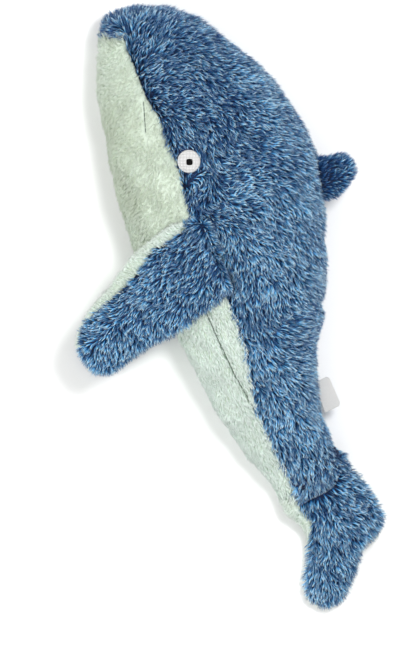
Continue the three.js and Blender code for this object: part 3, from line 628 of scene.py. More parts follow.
EYE_SHIFT = Vector((0.2 * MM, -0.8 * MM, 0))  # where the photograph shows the sewn eye, a little lower
PUPIL_SHIFT = Vector((0.6 * MM, -1.3 * MM, 0))
EYE_CENTRES = [np.array(sum(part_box(f"{side}_eye"), Vector()) / 2 + EYE_SHIFT) for side in SIDES]
EYE_RADIUS = max(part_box("left_eye")[1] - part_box("left_eye")[0]) / 2
EYE_SEAT = 1.7 * MM  # the eye's underside lies this far under the pile's outer face
SEAT_REACH = 1.7  # the seat runs out at this many of the eye's radii
CLOTH_WAVE_HEIGHT, CLOTH_WAVE = 0.5 * MM, 22 * MM  # the height and length of the cloth's waves
SEAM_DIP, SEAM_HALF = 0.8 * MM, 2.5 * MM  # how a panel's edge is drawn in
OUTER_FACE = 1.2 * MM  # a panel's points this close to the hull are drawn in fully
BLUE_CLOTH_LAP = 0.6 * MM  # how far inside its overhang a fin's cloth turns blue


def backing_depth(points, pile, part):
    """How far the backing lies under the outer face of the pile, at points of that face."""
    depth = np.full(len(points), pile.depth * MM * part.share)
    depth += CLOTH_WAVE_HEIGHT * ripple(points, seed=5, wave=CLOTH_WAVE)
    folded = np.zeros(len(points))
    for deep, half, line in FOLDS:
        folded += deep * MM * np.exp(-((line_gap(points, line) / (half * MM)) ** 2))
    depth += folded
    if part.body == "body":
        for centre in EYE_CENTRES:
            gap = np.linalg.norm(points - centre, axis=1)
            seat = 1 - smooth(gap, EYE_RADIUS, SEAT_REACH * EYE_RADIUS)
            depth = depth * (1 - seat) + EYE_SEAT * seat
    return depth


def stand_in(name, mesh, node, material):
    """A smooth piece that stands for one CAD node, with the node's slot."""
    mesh.shade_smooth()
    mesh.materials.append(material)
    obj = new_object(name, mesh)
    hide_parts(node)
    return obj


def backing(part, node):
    """The cloth of one panel: its solid, rounded and drawn in by the depth of its pile."""
    pile = PILES[SLOT_OF[node]]
    mesh = remeshed(node + "_cloth", [node], part.voxel, smoothing=3)
    cloth = Surface(mesh)
    places, normals, gaps = part.hull.nearest(cloth.points)
    outer = 1 - smooth(gaps, OUTER_FACE, part.wall * MM)
    depth = backing_depth(places, pile, part)
    others = [part.solids[other] for other in part.panels if other != node]
    seam = np.min([tree_gaps(tree, cloth.points) for tree in others], axis=0)
    depth += SEAM_DIP * np.exp(-((seam / SEAM_HALF) ** 2))
    cloth.points -= normals * (outer * depth)[:, None]
    cloth.points[:, 2] = np.maximum(cloth.points[:, 2], 2 * FLOOR_GAP)
    mesh.vertices.foreach_set("co", cloth.points.ravel())
    obj = stand_in(node + "_cloth", mesh, node, CLOTH_MATERIALS[pile.slot])
    if part.collar is not None:
        mesh.materials.append(BLUE_SHADE_CLOTH)
        middles = np.array([face.center for face in mesh.polygons])
        gaps = tree_gaps(part.solids[part.panels[0]], middles)
        blue = blue_overhang(part, middles) > gaps + BLUE_CLOTH_LAP
        mesh.polygons.foreach_set("material_index", blue.astype(np.int32))
    return obj


# Pile

TABLE_BLUR = 5 * MM  # the rows of a table blend over about this distance
SEAM_LEAN = 2.4 * MM  # how far from a seam its pile leans over the other kind
JOINED_NEAR, JOINED_FAR = 2 * MM, 7 * MM  # where pile runs on from another body's
LEVEL_NEAR, LEVEL_FAR = 9 * MM, 18 * MM  # how far from the tail's joint its pile is levelled
EYE_ROOM = SimpleNamespace(roots=1.04, tips=0.9, low=0.75, below=0.35, beside=0.3)  # in the eye's radii
UV_TONE = 0.012  # how much the tone changes across a strand
UV_FOOT = 0.01  # gives the face at a strand's root an area in the map


def blended(points, rows, values):
    """Values at some points, blended from those of the nearest rows of a table of pixels."""
    spots = np.stack(place(rows[:, 0], rows[:, 1]), axis=1)
    gaps = ((points[:, None, :2] - spots[None]) ** 2).sum(axis=2) + TABLE_BLUR**2
    shares = 1 / gaps**2
    return shares @ values / shares.sum(axis=1, keepdims=True)


def plan_comb(points, table):
    """Plan directions of the pile at some points."""
    rows = np.array(table, float)
    plan = unit(blended(points, rows, unit(rows[:, 2:] * (1, -1))))
    return np.concatenate([plan, np.zeros((len(points), 1))], axis=1)


def plan_tone(points, table):
    """How much lighter the pile is at some points."""
    rows = np.array(table, float)
    return blended(points, rows, rows[:, 2:])[:, 0]


def turned(vectors, axes, angles):
    """The vectors turned about the axes that they are square to."""
    return vectors * np.cos(angles)[:, None] + np.cross(axes, vectors) * np.sin(angles)[:, None]


def seam_pull(part, pile, centres, normals):
    """How strongly pile at a seam leans over the other kind of pile, and the way there."""
    gaps = np.full((len(centres), 1), np.inf)
    aims = np.zeros_like(centres)
    for other in part.panels:
        if SLOT_OF[other] != pile.slot:
            found = np.array([part.solids[other].find_nearest(p)[0] for p in centres.tolist()])
            gap = np.linalg.norm(found - centres, axis=1, keepdims=True)
            aims = np.where(gap < gaps, found - centres, aims)
            gaps = np.minimum(gap, gaps)
    aims = unit(aims - dot(aims, normals) * normals)
    return pile.overlap * np.exp(-((gaps / SEAM_LEAN) ** 2)), aims


def beside(part, points):
    """How close points are to a body whose pile runs on from this one's, from 0 to 1."""
    share = np.zeros(len(points))
    for other in PARTS:
        if other.body in part.laps:
            _, _, gaps = other.hull.nearest(points)
            share = np.maximum(share, 1 - smooth(gaps, JOINED_NEAR, JOINED_FAR))
    return share


def levelled(part, points, normals):
    """Normals without their tilt into the tail's joint, so that the pile runs on over it."""
    if part.joint_side == 0:
        return normals
    hinge, _, out = joint_axes(FLUKE)
    near = 1 - smooth(np.abs((points - hinge) @ out), LEVEL_NEAR, LEVEL_FAR)
    tilt = np.maximum(normals @ out * part.joint_side, 0) * part.joint_side
    return normals - (near * tilt)[:, None] * out


def strands(part, node, rng):
    """Every strand of one panel: its roots, axes and sizes."""
    pile = PILES[SLOT_OF[node]]
    centres, normals = part.spots[pile.slot]
    mine = part.owners[pile.slot] == part.panels.index(node)
    centres, normals = centres[mine], levelled(part, centres[mine], normals[mine])
    open_side = np.linalg.norm(normals, axis=1) > LOCK.open_normal
    centres, normals = centres[open_side], unit(normals[open_side])
    locks = len(centres)
    plan = plan_comb(centres, part.combs[pile.slot])
    lean = np.arcsin(np.clip(dot(plan, normals)[:, 0], -1, 1))
    ways = unit(plan - dot(plan, normals) * normals + LOCK.way_noise * rng.normal(size=plan.shape))
    ways = unit(ways - dot(ways, normals) * normals)
    swing = LOCK.sway_ripple * ripple(centres, seed=11, wave=LOCK.sway_wave)
    swing = swing + LOCK.sway_noise * rng.normal(size=locks)
    ways = turned(ways, normals, math.radians(pile.sway) * swing)
    near, aim = seam_pull(part, pile, centres, normals)
    ways = unit(ways * (1 - near) + aim * near)
    joined = beside(part, centres)
    lie = np.clip(lean, math.radians(pile.lie), math.radians(pile.most))
    lie += math.radians(LOCK.lie_noise) * rng.normal(size=locks)
    wavy = 1 + LOCK.length_ripple * ripple(centres, seed=12, wave=LOCK.length_wave)
    length = pile.length * part.trim * MM * wavy
    rim = 1 - LOCK.rim_cut * smooth(lean, *LOCK.rim_leans)
    length *= rng.uniform(*LOCK.lengths, locks) * rim * (1 + LOCK.joined_growth * joined)
    shares, means, spreads = (np.array(column) for column in zip(*pile.locks))
    kind = rng.choice(len(shares), locks, p=shares)
    tone = means[kind] + spreads[kind] * rng.normal(size=locks)
    mottle = pile.mottle * ripple(centres, seed=13, wave=LOCK.tone_wave)
    tone += plan_tone(centres, part.tones[pile.slot]) + mottle
    raised = math.radians(LOCK.bright_rise) * (tone > LOCK.bright)
    lie += raised + math.radians(LOCK.seam_rise) * near[:, 0]
    curl = pile.curl * rng.normal(size=locks)

    lock = np.repeat(np.arange(locks), pile.strands)
    count = len(lock)
    turn = rng.uniform(0, 2 * math.pi, count)
    far = np.sqrt(rng.random(count)) * pile.spread * MM
    sides = np.cross(normals, ways)
    spread = ways[lock] * (far * np.cos(turn))[:, None] + sides[lock] * (far * np.sin(turn))[:, None]
    on_hull, own_normals, _ = part.hull.nearest(centres[lock] + spread)
    own_normals = unit(levelled(part, on_hull, own_normals))
    lift = 1 - LOCK.joined_lift * joined
    depth = backing_depth(on_hull, pile, part) * lift[lock] + STRAND.root_depth
    hold = backing_depth(centres, pile, part) * lift + STRAND.root_depth
    roots = on_hull - own_normals * depth[:, None]
    hearts = (centres - normals * hold[:, None])[lock]
    tones = np.clip(tone[lock] + pile.stray * rng.normal(size=count), *STRAND.tones)
    bold = 1 + STRAND.bold_growth * (tones > STRAND.bold)
    return SimpleNamespace(
        pile=pile, hearts=hearts, offsets=roots - hearts, normals=normals[lock], ways=ways[lock],
        lie=lie[lock], rise=lie[lock] + math.radians(pile.rise) * rng.uniform(*STRAND.rises, count),
        length=length[lock] * rng.uniform(*STRAND.lengths, count),
        curl=curl[lock] + STRAND.curl_noise * pile.curl * rng.normal(size=count),
        width=pile.width * MM * rng.uniform(*STRAND.widths, count) * bold,
        tone=tones,
    )


def only(hair, kept):
    """The strands that are kept."""
    rows = {name: value[kept] for name, value in vars(hair).items() if name != "pile"}
    return SimpleNamespace(pile=hair.pile, **rows)


def path_at(hair, share):
    """The points of all strands at that share of their length, and their own directions there."""
    bend = np.minimum(hair.lie - hair.rise, -STRAND.least_bend)
    angle = hair.rise + bend * share
    ahead = (np.sin(angle) - np.sin(hair.rise)) / bend * hair.length
    above = -(np.cos(angle) - np.cos(hair.rise)) / bend * hair.length
    aside = hair.curl * hair.length * share**2
    sides = np.cross(hair.normals, hair.ways)
    shrink = 1 - hair.pile.gather * share**STRAND.gather_power
    points = hair.hearts + hair.offsets * shrink
    points = points + hair.ways * ahead[:, None] + hair.normals * above[:, None] + sides * aside[:, None]
    along = hair.ways * np.cos(angle)[:, None] + hair.normals * np.sin(angle)[:, None]
    return points, along


def cleared(hair, part):
    """Drops strands in a seam, a crease, an eye or another body's cloth, and cuts those across a crease."""
    kept = np.ones(len(hair.length), bool)
    roots = hair.hearts + hair.offsets
    for line in CREASES if hair.pile is LONG_PILE else SEAMS:
        before = line_side(roots, line)
        after = line_side(path_at(hair, 1.0)[0], line)
        kept &= np.abs(before) > CREASE_HALF
        over = (before * after < 0) & (np.abs(before) < hair.length)
        share = (np.abs(before) + CREASE_LAP[hair.pile.slot]) / (np.abs(before) + np.abs(after))
        hair.length = np.where(over, hair.length * np.clip(share, STRAND.shortest, 1.0), hair.length)
    tips, _ = path_at(hair, 1.0)
    middles, _ = path_at(hair, STRAND.middle)
    if part.body == "body":
        for centre in EYE_CENTRES:
            off = roots - centre
            kept &= np.linalg.norm(off, axis=1) > EYE_ROOM.roots * EYE_RADIUS
            below = off[:, 1] < -EYE_ROOM.below * EYE_RADIUS
            low_side = below & (off[:, 0] > -EYE_ROOM.beside * EYE_RADIUS)
            room = np.where(low_side, EYE_ROOM.low, 1.0) * EYE_RADIUS
            kept &= np.linalg.norm(middles - centre, axis=1) > room
            kept &= np.linalg.norm(tips - centre, axis=1) > EYE_ROOM.tips * room
    for other in PARTS:
        if other.body == part.body or {part.body, other.body} & {"tail_fluke", "dorsal_fin"}:
            continue
        low, high = other.hull.points.min(axis=0), other.hull.points.max(axis=0)
        for points in (middles, tips):
            close = np.flatnonzero(kept & np.all((points > low) & (points < high), axis=1))
            if len(close):
                kept[close[other.hull.depth(points[close]) > other.keep_out * MM]] = False
    return only(hair, kept)


def strand_mesh(name, hair):
    """A mesh of closed three-sided strands that taper to their tips."""
    rings, count = hair.pile.rings, len(hair.length)
    per = 3 * len(rings) + 1
    points = np.zeros((count, per, 3))
    sides = np.cross(hair.normals, hair.ways)
    for ring, share in enumerate(rings):
        middle, along = path_at(hair, share)
        up = np.cross(along, sides)
        half = hair.width / 2 * (1 - share) ** STRAND.taper
        for corner in range(3):
            turn = 2 * math.pi * corner / 3 - math.pi / 2
            offset = sides * math.cos(turn) + up * math.sin(turn)
            points[:, 3 * ring + corner] = middle + offset * half[:, None]
    points[:, -1], _ = path_at(hair, 1.0)
    points[:, :, 2] = np.maximum(points[:, :, 2], FLOOR_GAP)

    faces = []
    tip = per - 1
    for ring in range(len(rings) - 1):
        here, there = 3 * ring, 3 * ring + 3
        for corner in range(3):
            after = (corner + 1) % 3
            faces.append((here + corner, here + after, there + after))
            faces.append((here + corner, there + after, there + corner))
    last = tip - 3
    faces += [(last + corner, last + (corner + 1) % 3, tip) for corner in range(3)]
    faces.append((2, 1, 0))
    faces = np.array(faces)
    across = np.tile((-UV_TONE, 0.0, UV_TONE), len(rings)).tolist() + [0.0]
    along = np.repeat(rings, 3).tolist() + [1.0]
    places = np.stack([across, along], axis=1)

    mesh = bpy.data.meshes.new(name)
    mesh.vertices.add(count * per)
    mesh.vertices.foreach_set("co", points.astype(np.float32).ravel())
    all_faces = (faces[None] + per * np.arange(count)[:, None, None]).reshape(-1)
    mesh.loops.add(len(all_faces))
    mesh.loops.foreach_set("vertex_index", all_faces.astype(np.int32))
    mesh.polygons.add(len(all_faces) // 3)
    mesh.polygons.foreach_set("loop_start", np.arange(0, len(all_faces), 3, dtype=np.int32))
    mesh.update(calc_edges=True)
    map_places = np.zeros((count, len(faces), 3, 2))
    map_places[:] = places[faces]
    map_places[:, -1, 1, 1] = UV_FOOT
    map_places[:, :, :, 0] += hair.tone[:, None, None]
    mesh.uv_layers.new(name="OFBake").uv.foreach_set("vector", map_places.astype(np.float32).ravel())
    mesh.shade_smooth()
    mesh.materials.append(PILE_MATERIALS[hair.pile.slot])
    return mesh


def pile_pieces(part, node, rng):
    """The strands of one panel, as pieces of limited size from the tail end to the head end."""
    hair = cleared(strands(part, node, rng), part)
    order = np.argsort(hair.hearts[:, 1], kind="stable")
    pieces = max(1, math.ceil(len(order) / hair.pile.chunk))
    made = []
    for index, some in enumerate(np.array_split(order, pieces)):
        name = f"{node}_pile_{index + 1}"
        obj = new_object(name, strand_mesh(name, only(hair, some)))
        made.append(obj)
    return made


# Parts: each body's panels, filling, combing and joint

PILE_EDGE = 0.8 * MM  # how far the long pile takes over from the short one
EDGE_WAVER, EDGE_WAVE = 0.9 * MM, 4.5 * MM  # the unevenness of that edge, and its wavelength
ROOT_OVERHANG, TRAILING_OVERHANG = 20 * MM, 2.2 * MM
OVERHANG_LESS = 1.6 * MM  # the pile takes over by this much less than blue_overhang says
TRAILING_HALF = 4 * MM  # half the width over which the trailing overhang fades
COLLAR_FADE = 1.8  # the root's overhang ends at this many times the collar


def make_part(body, panels, filling, combs, tones, **values):
    """A body of the toy with its outer face, and where its locks of pile stand."""
    part = SimpleNamespace(body=body, panels=list(panels), combs=combs, tones=tones, **values)
    nodes = [*panels, *filling]
    part.hull = Surface(remeshed(body + "_hull", nodes, part.hull_voxel, part.smoothing, one_piece=True))
    part.solids = {node: Surface(NODES[node].data).tree for node in panels}
    part.spots, part.owners = {}, {}
    rng = np.random.default_rng(part.seed)
    for slot in sorted({SLOT_OF[node] for node in panels}):
        centres, normals = part.hull.scatter(PILES[slot].spacing * MM, rng)
        gaps = np.array([tree_gaps(tree, centres) for tree in part.solids.values()])
        for gap, node in zip(gaps, panels):
            if SLOT_OF[node] == "long_pile":
                gap -= PILE_EDGE + EDGE_WAVER * ripple(centres, seed=17, wave=EDGE_WAVE)
        part.spots[slot] = (centres, normals)
        if part.collar is not None:
            gaps[0] -= blue_overhang(part, centres) - OVERHANG_LESS
        part.owners[slot] = np.argmin(gaps, axis=0)
    return part


def joint_axes(part):
    """A hinged part's joint: its place, its axis, and the level way out along the part."""
    joint = JOINTS[part.joint]
    hinge, axis = np.array(joint["pos_m"]), np.array(joint["axis"])
    out = unit(np.cross(axis, (0, 0, 1)))
    middle = part.hull.points.mean(axis=0)
    return hinge, axis, out if (middle - hinge) @ out > 0 else -out


def blue_overhang(part, points):
    """How far a fin's outer panel takes over from the inner one, at its root and trailing edge."""
    hinge, axis, out = joint_axes(part)
    headward = axis if axis[1] > 0 else -axis
    root = 1 - smooth((points - hinge) @ out, part.collar * MM, COLLAR_FADE * part.collar * MM)
    trailing = 1 - smooth((points - hinge) @ headward, -TRAILING_HALF, TRAILING_HALF)
    return np.maximum(ROOT_OVERHANG * root, TRAILING_OVERHANG * trailing)


def fin_part(side, seed):
    """One fin, with its two panels and its film."""
    return make_part(
        f"{side}_fin",
        (f"{side}_fin_outer_panel", f"{side}_fin_inner_panel"),
        (f"{side}_fin_film",),
        {"long_pile": FIN_COMB, "short_pile": FIN_BAND_COMB},
        {"long_pile": FIN_TONES, "short_pile": FIN_BAND_TONES},
        hull_voxel=1.6, smoothing=4, voxel=1.0, wall=3.2, share=0.62, trim=0.92, fill=0.3, keep_out=2.8,
        seed=seed, joint=f"{side}_fin_flap", reach=12.0, collar=5.0, laps=(), joint_side=0,
    )


PARTS = [
    make_part(
        "body", BODY_PANELS, BODY_FILLING, {"long_pile": BODY_COMB, "short_pile": BELLY_COMB},
        {"long_pile": BODY_TONE_AND_SHADE, "short_pile": BELLY_LIGHT_AND_SHADE},
        hull_voxel=2.6, smoothing=8, voxel=2.0, wall=5.0, share=1.0, trim=1.0, fill=0.7, keep_out=5.0,
        seed=1, joint=None, reach=0.0, collar=None, laps=("tail_fluke",), joint_side=1,
    ),
    fin_part("left", 2),
    fin_part("right", 3),
    make_part(
        "dorsal_fin", ("dorsal_fin_left_panel", "dorsal_fin_right_panel"), (),
        {"long_pile": DORSAL_COMB}, {"long_pile": DORSAL_ROOT_SHADE},
        hull_voxel=1.4, smoothing=4, voxel=1.0, wall=3.2, share=0.55, trim=0.8, fill=0.4, keep_out=1.6,
        seed=4, joint="dorsal_fin_flop", reach=6.0, collar=None, laps=(), joint_side=0,
    ),
    make_part(
        "tail_fluke", ("fluke_upper_panel", "fluke_lower_panel"), ("fluke_wadding",),
        {"long_pile": FLUKE_COMB, "short_pile": FLUKE_BAND_COMB},
        {"long_pile": FLUKE_TONES, "short_pile": FLUKE_BAND_TONES},
        hull_voxel=2.0, smoothing=5, voxel=1.4, wall=4.0, share=0.85, trim=0.95, fill=0.4, keep_out=2.5,
        seed=5, joint="tail_fold", reach=12.0, collar=None, laps=("body",), joint_side=-1,
    ),
]
BODY, FLUKE = PARTS[0], PARTS[-1]


def carry(part, obj):
    """Attaches a piece to its body where the body has no joint; where it has one, only bakes the piece's
    placement into its mesh.
    """
    if part.joint is None:
        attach(obj, part.body)
        return
    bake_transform(obj)


for part in PARTS:
    rng = np.random.default_rng(100 + part.seed)
    for node in part.panels:
        for piece in [backing(part, node), *pile_pieces(part, node, rng)]:
            carry(part, piece)


# Materials of the small pieces and of what is inside

FELT = thread_material(
    "eye_thread", colour(174, 174, 174), colour(230, 230, 229), pitch=0.95 * MM, rough=0.9,
)
BLACK = thread_material(
    "pupil_thread", colour(4, 4, 5), colour(14, 14, 16), pitch=0.4 * MM, rough=0.9, gloss=0.15,
)
TAG = thread_material(
    "tag_weave", colour(194, 194, 193), colour(226, 226, 225), pitch=0.3 * MM, rough=0.6,
)
FILL = cloth_material(
    "polyester_fill", colour(226, 226, 222), colour(248, 248, 246), scale=150.0, rough=0.95,
)
FILM = plastic_material("crackle_film", colour(214, 218, 222), colour(236, 238, 240), rough=0.3)
SHELL = plastic_material("squeaker_plastic", colour(232, 232, 228), colour(246, 246, 243), rough=0.4)
REED = plastic_material("reed_plastic", colour(196, 60, 48), colour(222, 80, 64), rough=0.4)
SLOT_MATERIALS = {
    "felt": FELT, "black_thread": BLACK, "woven_tag": TAG, "fill": FILL, "film": FILM,
    "squeaker_plastic": SHELL, "reed_plastic": REED, "long_pile": BLUE_SHADE_CLOTH, "short_pile": MINT_CLOTH,
}
for node, obj in NODES.items():
    obj.data.materials.clear()
    obj.data.materials.append(SLOT_MATERIALS[SLOT_OF[node]])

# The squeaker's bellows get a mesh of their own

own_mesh(NODES["squeaker_bellows"])


def finished(name, mesh, node, body):
    """A piece that stands for one CAD node in that node's material, and moves with its body."""
    obj = stand_in(name, mesh, node, SLOT_MATERIALS[SLOT_OF[node]])
    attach(obj, body)
    return obj


# Eyes: an embroidered disc with a stitched rim, and a satin-stitched pupil

FLANK_HEIGHT = sum(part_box("side_tag"), Vector())[2] / 2  # the height of the back seam, between the flanks
RIM_WIDTH = 1.7 * MM
RIM_HEIGHT = 0.55 * MM
RIM_POWER = 0.7  # under 1 makes the rim fuller than a sine
RIM_STITCHES = 64
STITCH_HEIGHT, STITCH_POWER = 0.16 * MM, 0.6  # of the rim's stitches
SEED_HEIGHT = 0.07 * MM  # of the seed stitches inside the rim
SEED_TURN = 2 * math.pi / (0.95 * MM)
EYE_TOP = 0.55 * MM
EYE_DOME = 0.25 * MM
EYE_EDGE = 1.0 * MM  # how far the disc's edge turns down
EYE_BEVEL = (0.97 * EYE_RADIUS, 1.02 * EYE_RADIUS)
EYE_STEPS = 384  # the points round the outlines of eye and pupil
EYE_FOOT = -1.3 * MM  # the height of the disc's flat base
PUPIL_HALF = 2.05 * MM
PUPIL_RISE = 0.45 * MM
PUPIL_DROP = 0.55  # the share of its rise that the pupil loses towards its edge
PUPIL_FOOT = 0.3 * MM
PUPIL_POWER = 3.4  # makes its outline a rounded square
SATIN_HEIGHT = 0.06 * MM
SATIN_TURN = math.pi / (0.4 * MM)


def flat_axes(node):
    """The middle of a flat node, and its own axes with the one through its faces last."""
    points = np.array([vertex.co for vertex in NODES[node].data.vertices])
    middle = (points.min(axis=0) + points.max(axis=0)) / 2
    _, _, axes = np.linalg.svd(points - points.mean(axis=0))
    outward = np.sign((middle[2] - FLANK_HEIGHT) * axes[2][2]) * axes[2]
    first = unit(np.cross((0.0, 1.0, 0.0), outward))
    return middle, np.stack([first, np.cross(outward, first), outward])


def stitched_disc(name, middle, axes, outline, shares, height, foot):
    """A closed disc: an outline that grows in rings, with a height at each point, on a flat base."""
    rings, steps = len(shares), len(outline)
    points = []
    for share in shares:
        ring = outline * share
        points.append(np.concatenate([ring, height(ring)[:, None]], axis=1))
    points.append(np.concatenate([outline, np.full((steps, 1), foot)], axis=1))
    centre_top = np.array([[0.0, 0.0, height(np.zeros((1, 2)))[0]]])
    centre_low = np.array([[0.0, 0.0, foot]])
    local = np.concatenate(points + [centre_top, centre_low])
    top, bottom = len(local) - 2, len(local) - 1
    faces = []
    for step in range(steps):
        after = (step + 1) % steps
        faces.append((step, after, top))
        faces.append((rings * steps + after, rings * steps + step, bottom))
        for ring in range(rings):
            here, there = ring * steps, (ring + 1) * steps
            faces.append((there + step, there + after, here + after, here + step))
    mesh = bpy.data.meshes.new(name)
    points = middle + local @ axes
    points[:, 2] = np.maximum(points[:, 2], FLOOR_GAP / 3)
    mesh.from_pydata(points.tolist(), [], faces)
    return mesh


def disc_height(ring):
    """The height of the embroidered disc: seed stitches inside, and a rim of radial stitches."""
    far = np.linalg.norm(ring, axis=1)
    turn = np.arctan2(ring[:, 1], ring[:, 0])
    field = SEED_HEIGHT * np.sin(ring[:, 0] * SEED_TURN) * np.sin(ring[:, 1] * SEED_TURN)
    inner = EYE_RADIUS - RIM_WIDTH
    across = np.clip((far - inner) / RIM_WIDTH, 0, 1)
    swell = np.sin(math.pi * across)
    roll = RIM_HEIGHT * swell**RIM_POWER
    stitches = STITCH_HEIGHT * np.abs(np.sin(turn * RIM_STITCHES / 2)) ** STITCH_POWER * swell
    dome = EYE_DOME * (1 - (far / EYE_RADIUS) ** 2)
    edge = -EYE_EDGE * smooth(far, *EYE_BEVEL)
    return EYE_TOP + dome + np.where(far < inner, field, 0) + roll + stitches + edge


def pupil_height(ring):
    """The height of the pupil: a low dome of satin stitches that run side by side."""
    far = np.linalg.norm(ring, axis=1) / PUPIL_HALF
    satin = SATIN_HEIGHT * np.abs(np.sin(ring[:, 0] * SATIN_TURN))
    return EYE_TOP + EYE_DOME + PUPIL_RISE * (1 - PUPIL_DROP * far**4) + satin


TURNS = np.linspace(0, 2 * math.pi, EYE_STEPS, endpoint=False)
CIRCLE = np.stack([np.cos(TURNS), np.sin(TURNS)], axis=1)
POWERS = np.abs(np.cos(TURNS)) ** PUPIL_POWER + np.abs(np.sin(TURNS)) ** PUPIL_POWER
PUPIL_OUTLINE = PUPIL_HALF * (POWERS ** (-1 / PUPIL_POWER))[:, None] * CIRCLE
EYE_SHARES = np.concatenate([np.linspace(0.02, 0.76, 26), np.linspace(0.78, 1.0, 14)])
PUPIL_SHARES = np.linspace(0.04, 1.0, 16)
DISCS = (
    ("eye", "eye_disc", EYE_SHIFT, EYE_RADIUS * CIRCLE, EYE_SHARES, disc_height, EYE_FOOT),
    ("pupil", "pupil_thread", PUPIL_SHIFT, PUPIL_OUTLINE, PUPIL_SHARES, pupil_height, PUPIL_FOOT),
)
for side in SIDES:
    middle, axes = flat_axes(f"{side}_eye")
    for node, label, shift, *shape in DISCS:
        mesh = stitched_disc(f"{side}_{label}", middle + np.array(shift), axes, *shape)
        finished(f"{side}_{label}", mesh, f"{side}_{node}", "body")


# Tag: a bare woven strip, folded at its outer edge and sewn into the back seam

TAG_ROOT = line_of(((313.0, 383.0), (325.0, 413.0)))
TAG_FOLD = line_of(((328.6, 376.0), (341.0, 405.0)))
TAG_GAP = 0.7 * MM  # about half the way between the two plies
TAG_PLY = 0.3 * MM
TAG_TURN = 1.6  # how tightly the strip turns back at its fold
TAG_STEPS_OUT, TAG_STEPS_ALONG = 26, 30
TAG_WAVE, TAG_SAG = 0.5 * MM, 1.6 * MM
CORNER_START, CORNER_SHARE, CORNER_CUT = 0.72, 0.28, 0.13  # how the fold's two corners draw back


def make_tag():
    """The folded strip: out along the lower ply, round the fold and back along the upper one."""
    hinge = JOINTS["tag_flap"]["pos_m"]
    points = []
    for step in range(2 * TAG_STEPS_OUT + 1):
        back = step / TAG_STEPS_OUT - 1
        out = 1 - abs(back) ** TAG_TURN
        ply = np.sign(back) * TAG_GAP * (0.5 + 0.7 * (1 - out)) * min(1, abs(back) * 4) ** 0.5
        for along in np.linspace(0, 1, TAG_STEPS_ALONG):
            inner = TAG_ROOT[0] + (TAG_ROOT[1] - TAG_ROOT[0]) * along
            outer = TAG_FOLD[0] + (TAG_FOLD[1] - TAG_FOLD[0]) * along
            corner = max(0, abs(2 * along - 1) - CORNER_START) / CORNER_SHARE
            plan = inner + (outer - inner) * out * (1 - CORNER_CUT * corner**2.4)
            wave = TAG_WAVE * math.sin(5 * along + 2 * out) * out - TAG_SAG * out**2
            points.append((*plan, hinge[2] + ply + wave))
    faces = []
    for step in range(2 * TAG_STEPS_OUT):
        for along in range(TAG_STEPS_ALONG - 1):
            here = step * TAG_STEPS_ALONG + along
            there = here + TAG_STEPS_ALONG
            faces.append((here, here + 1, there + 1, there))
    mesh = bpy.data.meshes.new("tag_strip")
    mesh.from_pydata(points, [], faces)
    obj = new_object("tag_strip", mesh)
    solid = obj.modifiers.new("ply", "SOLIDIFY")
    solid.thickness = TAG_PLY
    solid.offset = 0
    piece = finished("tag_strip_woven", applied(obj), "side_tag", "tag")


make_tag()


# Dark seam threads where the short pile parts, as painted shade: they stand for the shadow in each seam's
# groove

STITCH_STEP = 3.4 * MM
STITCH_SHARE = 0.97  # the share of its step that a stitch spans
STITCH_DEPTH = 0.9 * MM
STITCH_BOW = 0.3 * MM
STITCH_RADIUS = 0.26 * MM
STITCH_RINGS, STITCH_CORNERS = 6, 6  # of each stitch's tube
STITCH_END = 0.4  # how thin a stitch is at its ends
ASLANT = Vector((0.3, 0.2, 1.0))  # a direction that no stitch runs along
# Dark grey-green thread: painted shade of the seam's parting.
SEAM_SHADE_THREAD = thread_material("seam_shade_thread", colour(60, 72, 64), colour(98, 114, 102), pitch=0.3 * MM, rough=0.9)


def stitches(name, pixels, height):
    """Stitches along one seam, on the flank that a ray from that height meets."""
    line = line_of(pixels)
    runs = np.linalg.norm(np.diff(line, axis=0), axis=1)
    reach = np.concatenate([[0], np.cumsum(runs)])
    work = bmesh.new()
    for index in range(int(reach[-1] / STITCH_STEP)):
        path = []
        for share in np.linspace(0, STITCH_SHARE, STITCH_RINGS):
            along = (index + share) * STITCH_STEP
            spot = [np.interp(along, reach, line[:, axis]) for axis in range(2)]
            hit, normal, _, _ = BODY.hull.tree.ray_cast((*spot, height), (0, 0, -height))
            if hit is None:
                break
            bow = math.sin(math.pi * share / STITCH_SHARE)
            path.append(hit - normal * (STITCH_DEPTH - STITCH_BOW * bow))
        if len(path) == STITCH_RINGS:
            add_stitch(work, path)
    mesh = mesh_from(name, work)
    mesh.shade_smooth()
    mesh.materials.append(SEAM_SHADE_THREAD)
    obj = new_object(name, mesh)
    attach(obj, "body")


def add_stitch(work, path):
    """A closed tube along a path, thin at both ends."""
    rings = []
    for index, point in enumerate(path):
        ahead = (path[min(index + 1, len(path) - 1)] - path[max(index - 1, 0)]).normalized()
        side = ahead.cross(ASLANT).normalized()
        up = ahead.cross(side)
        size = STITCH_RADIUS * (STITCH_END if index in (0, len(path) - 1) else 1.0)
        turns = [2 * math.pi * corner / STITCH_CORNERS for corner in range(STITCH_CORNERS)]
        rings.append([work.verts.new(point + size * (side * math.cos(t) + up * math.sin(t))) for t in turns])
    for here, there in zip(rings[:-1], rings[1:]):
        for corner in range(STITCH_CORNERS):
            after = (corner + 1) % STITCH_CORNERS
            work.faces.new((here[corner], here[after], there[after], there[corner]))
    work.faces.new(rings[0][::-1])
    work.faces.new(rings[-1])


for number, pixels in enumerate(SEAMS, 1):
    for side, height in zip(SIDES, (1.0, -1.0)):
        stitches(f"seam_shade_stitches_{side}_{number}", pixels, height)


# Fill: soft lumps of fibre, a little smaller than the room that the cloth leaves

FILL_LUMP_HEIGHT, FILL_LUMP = 0.5 * MM, 14 * MM


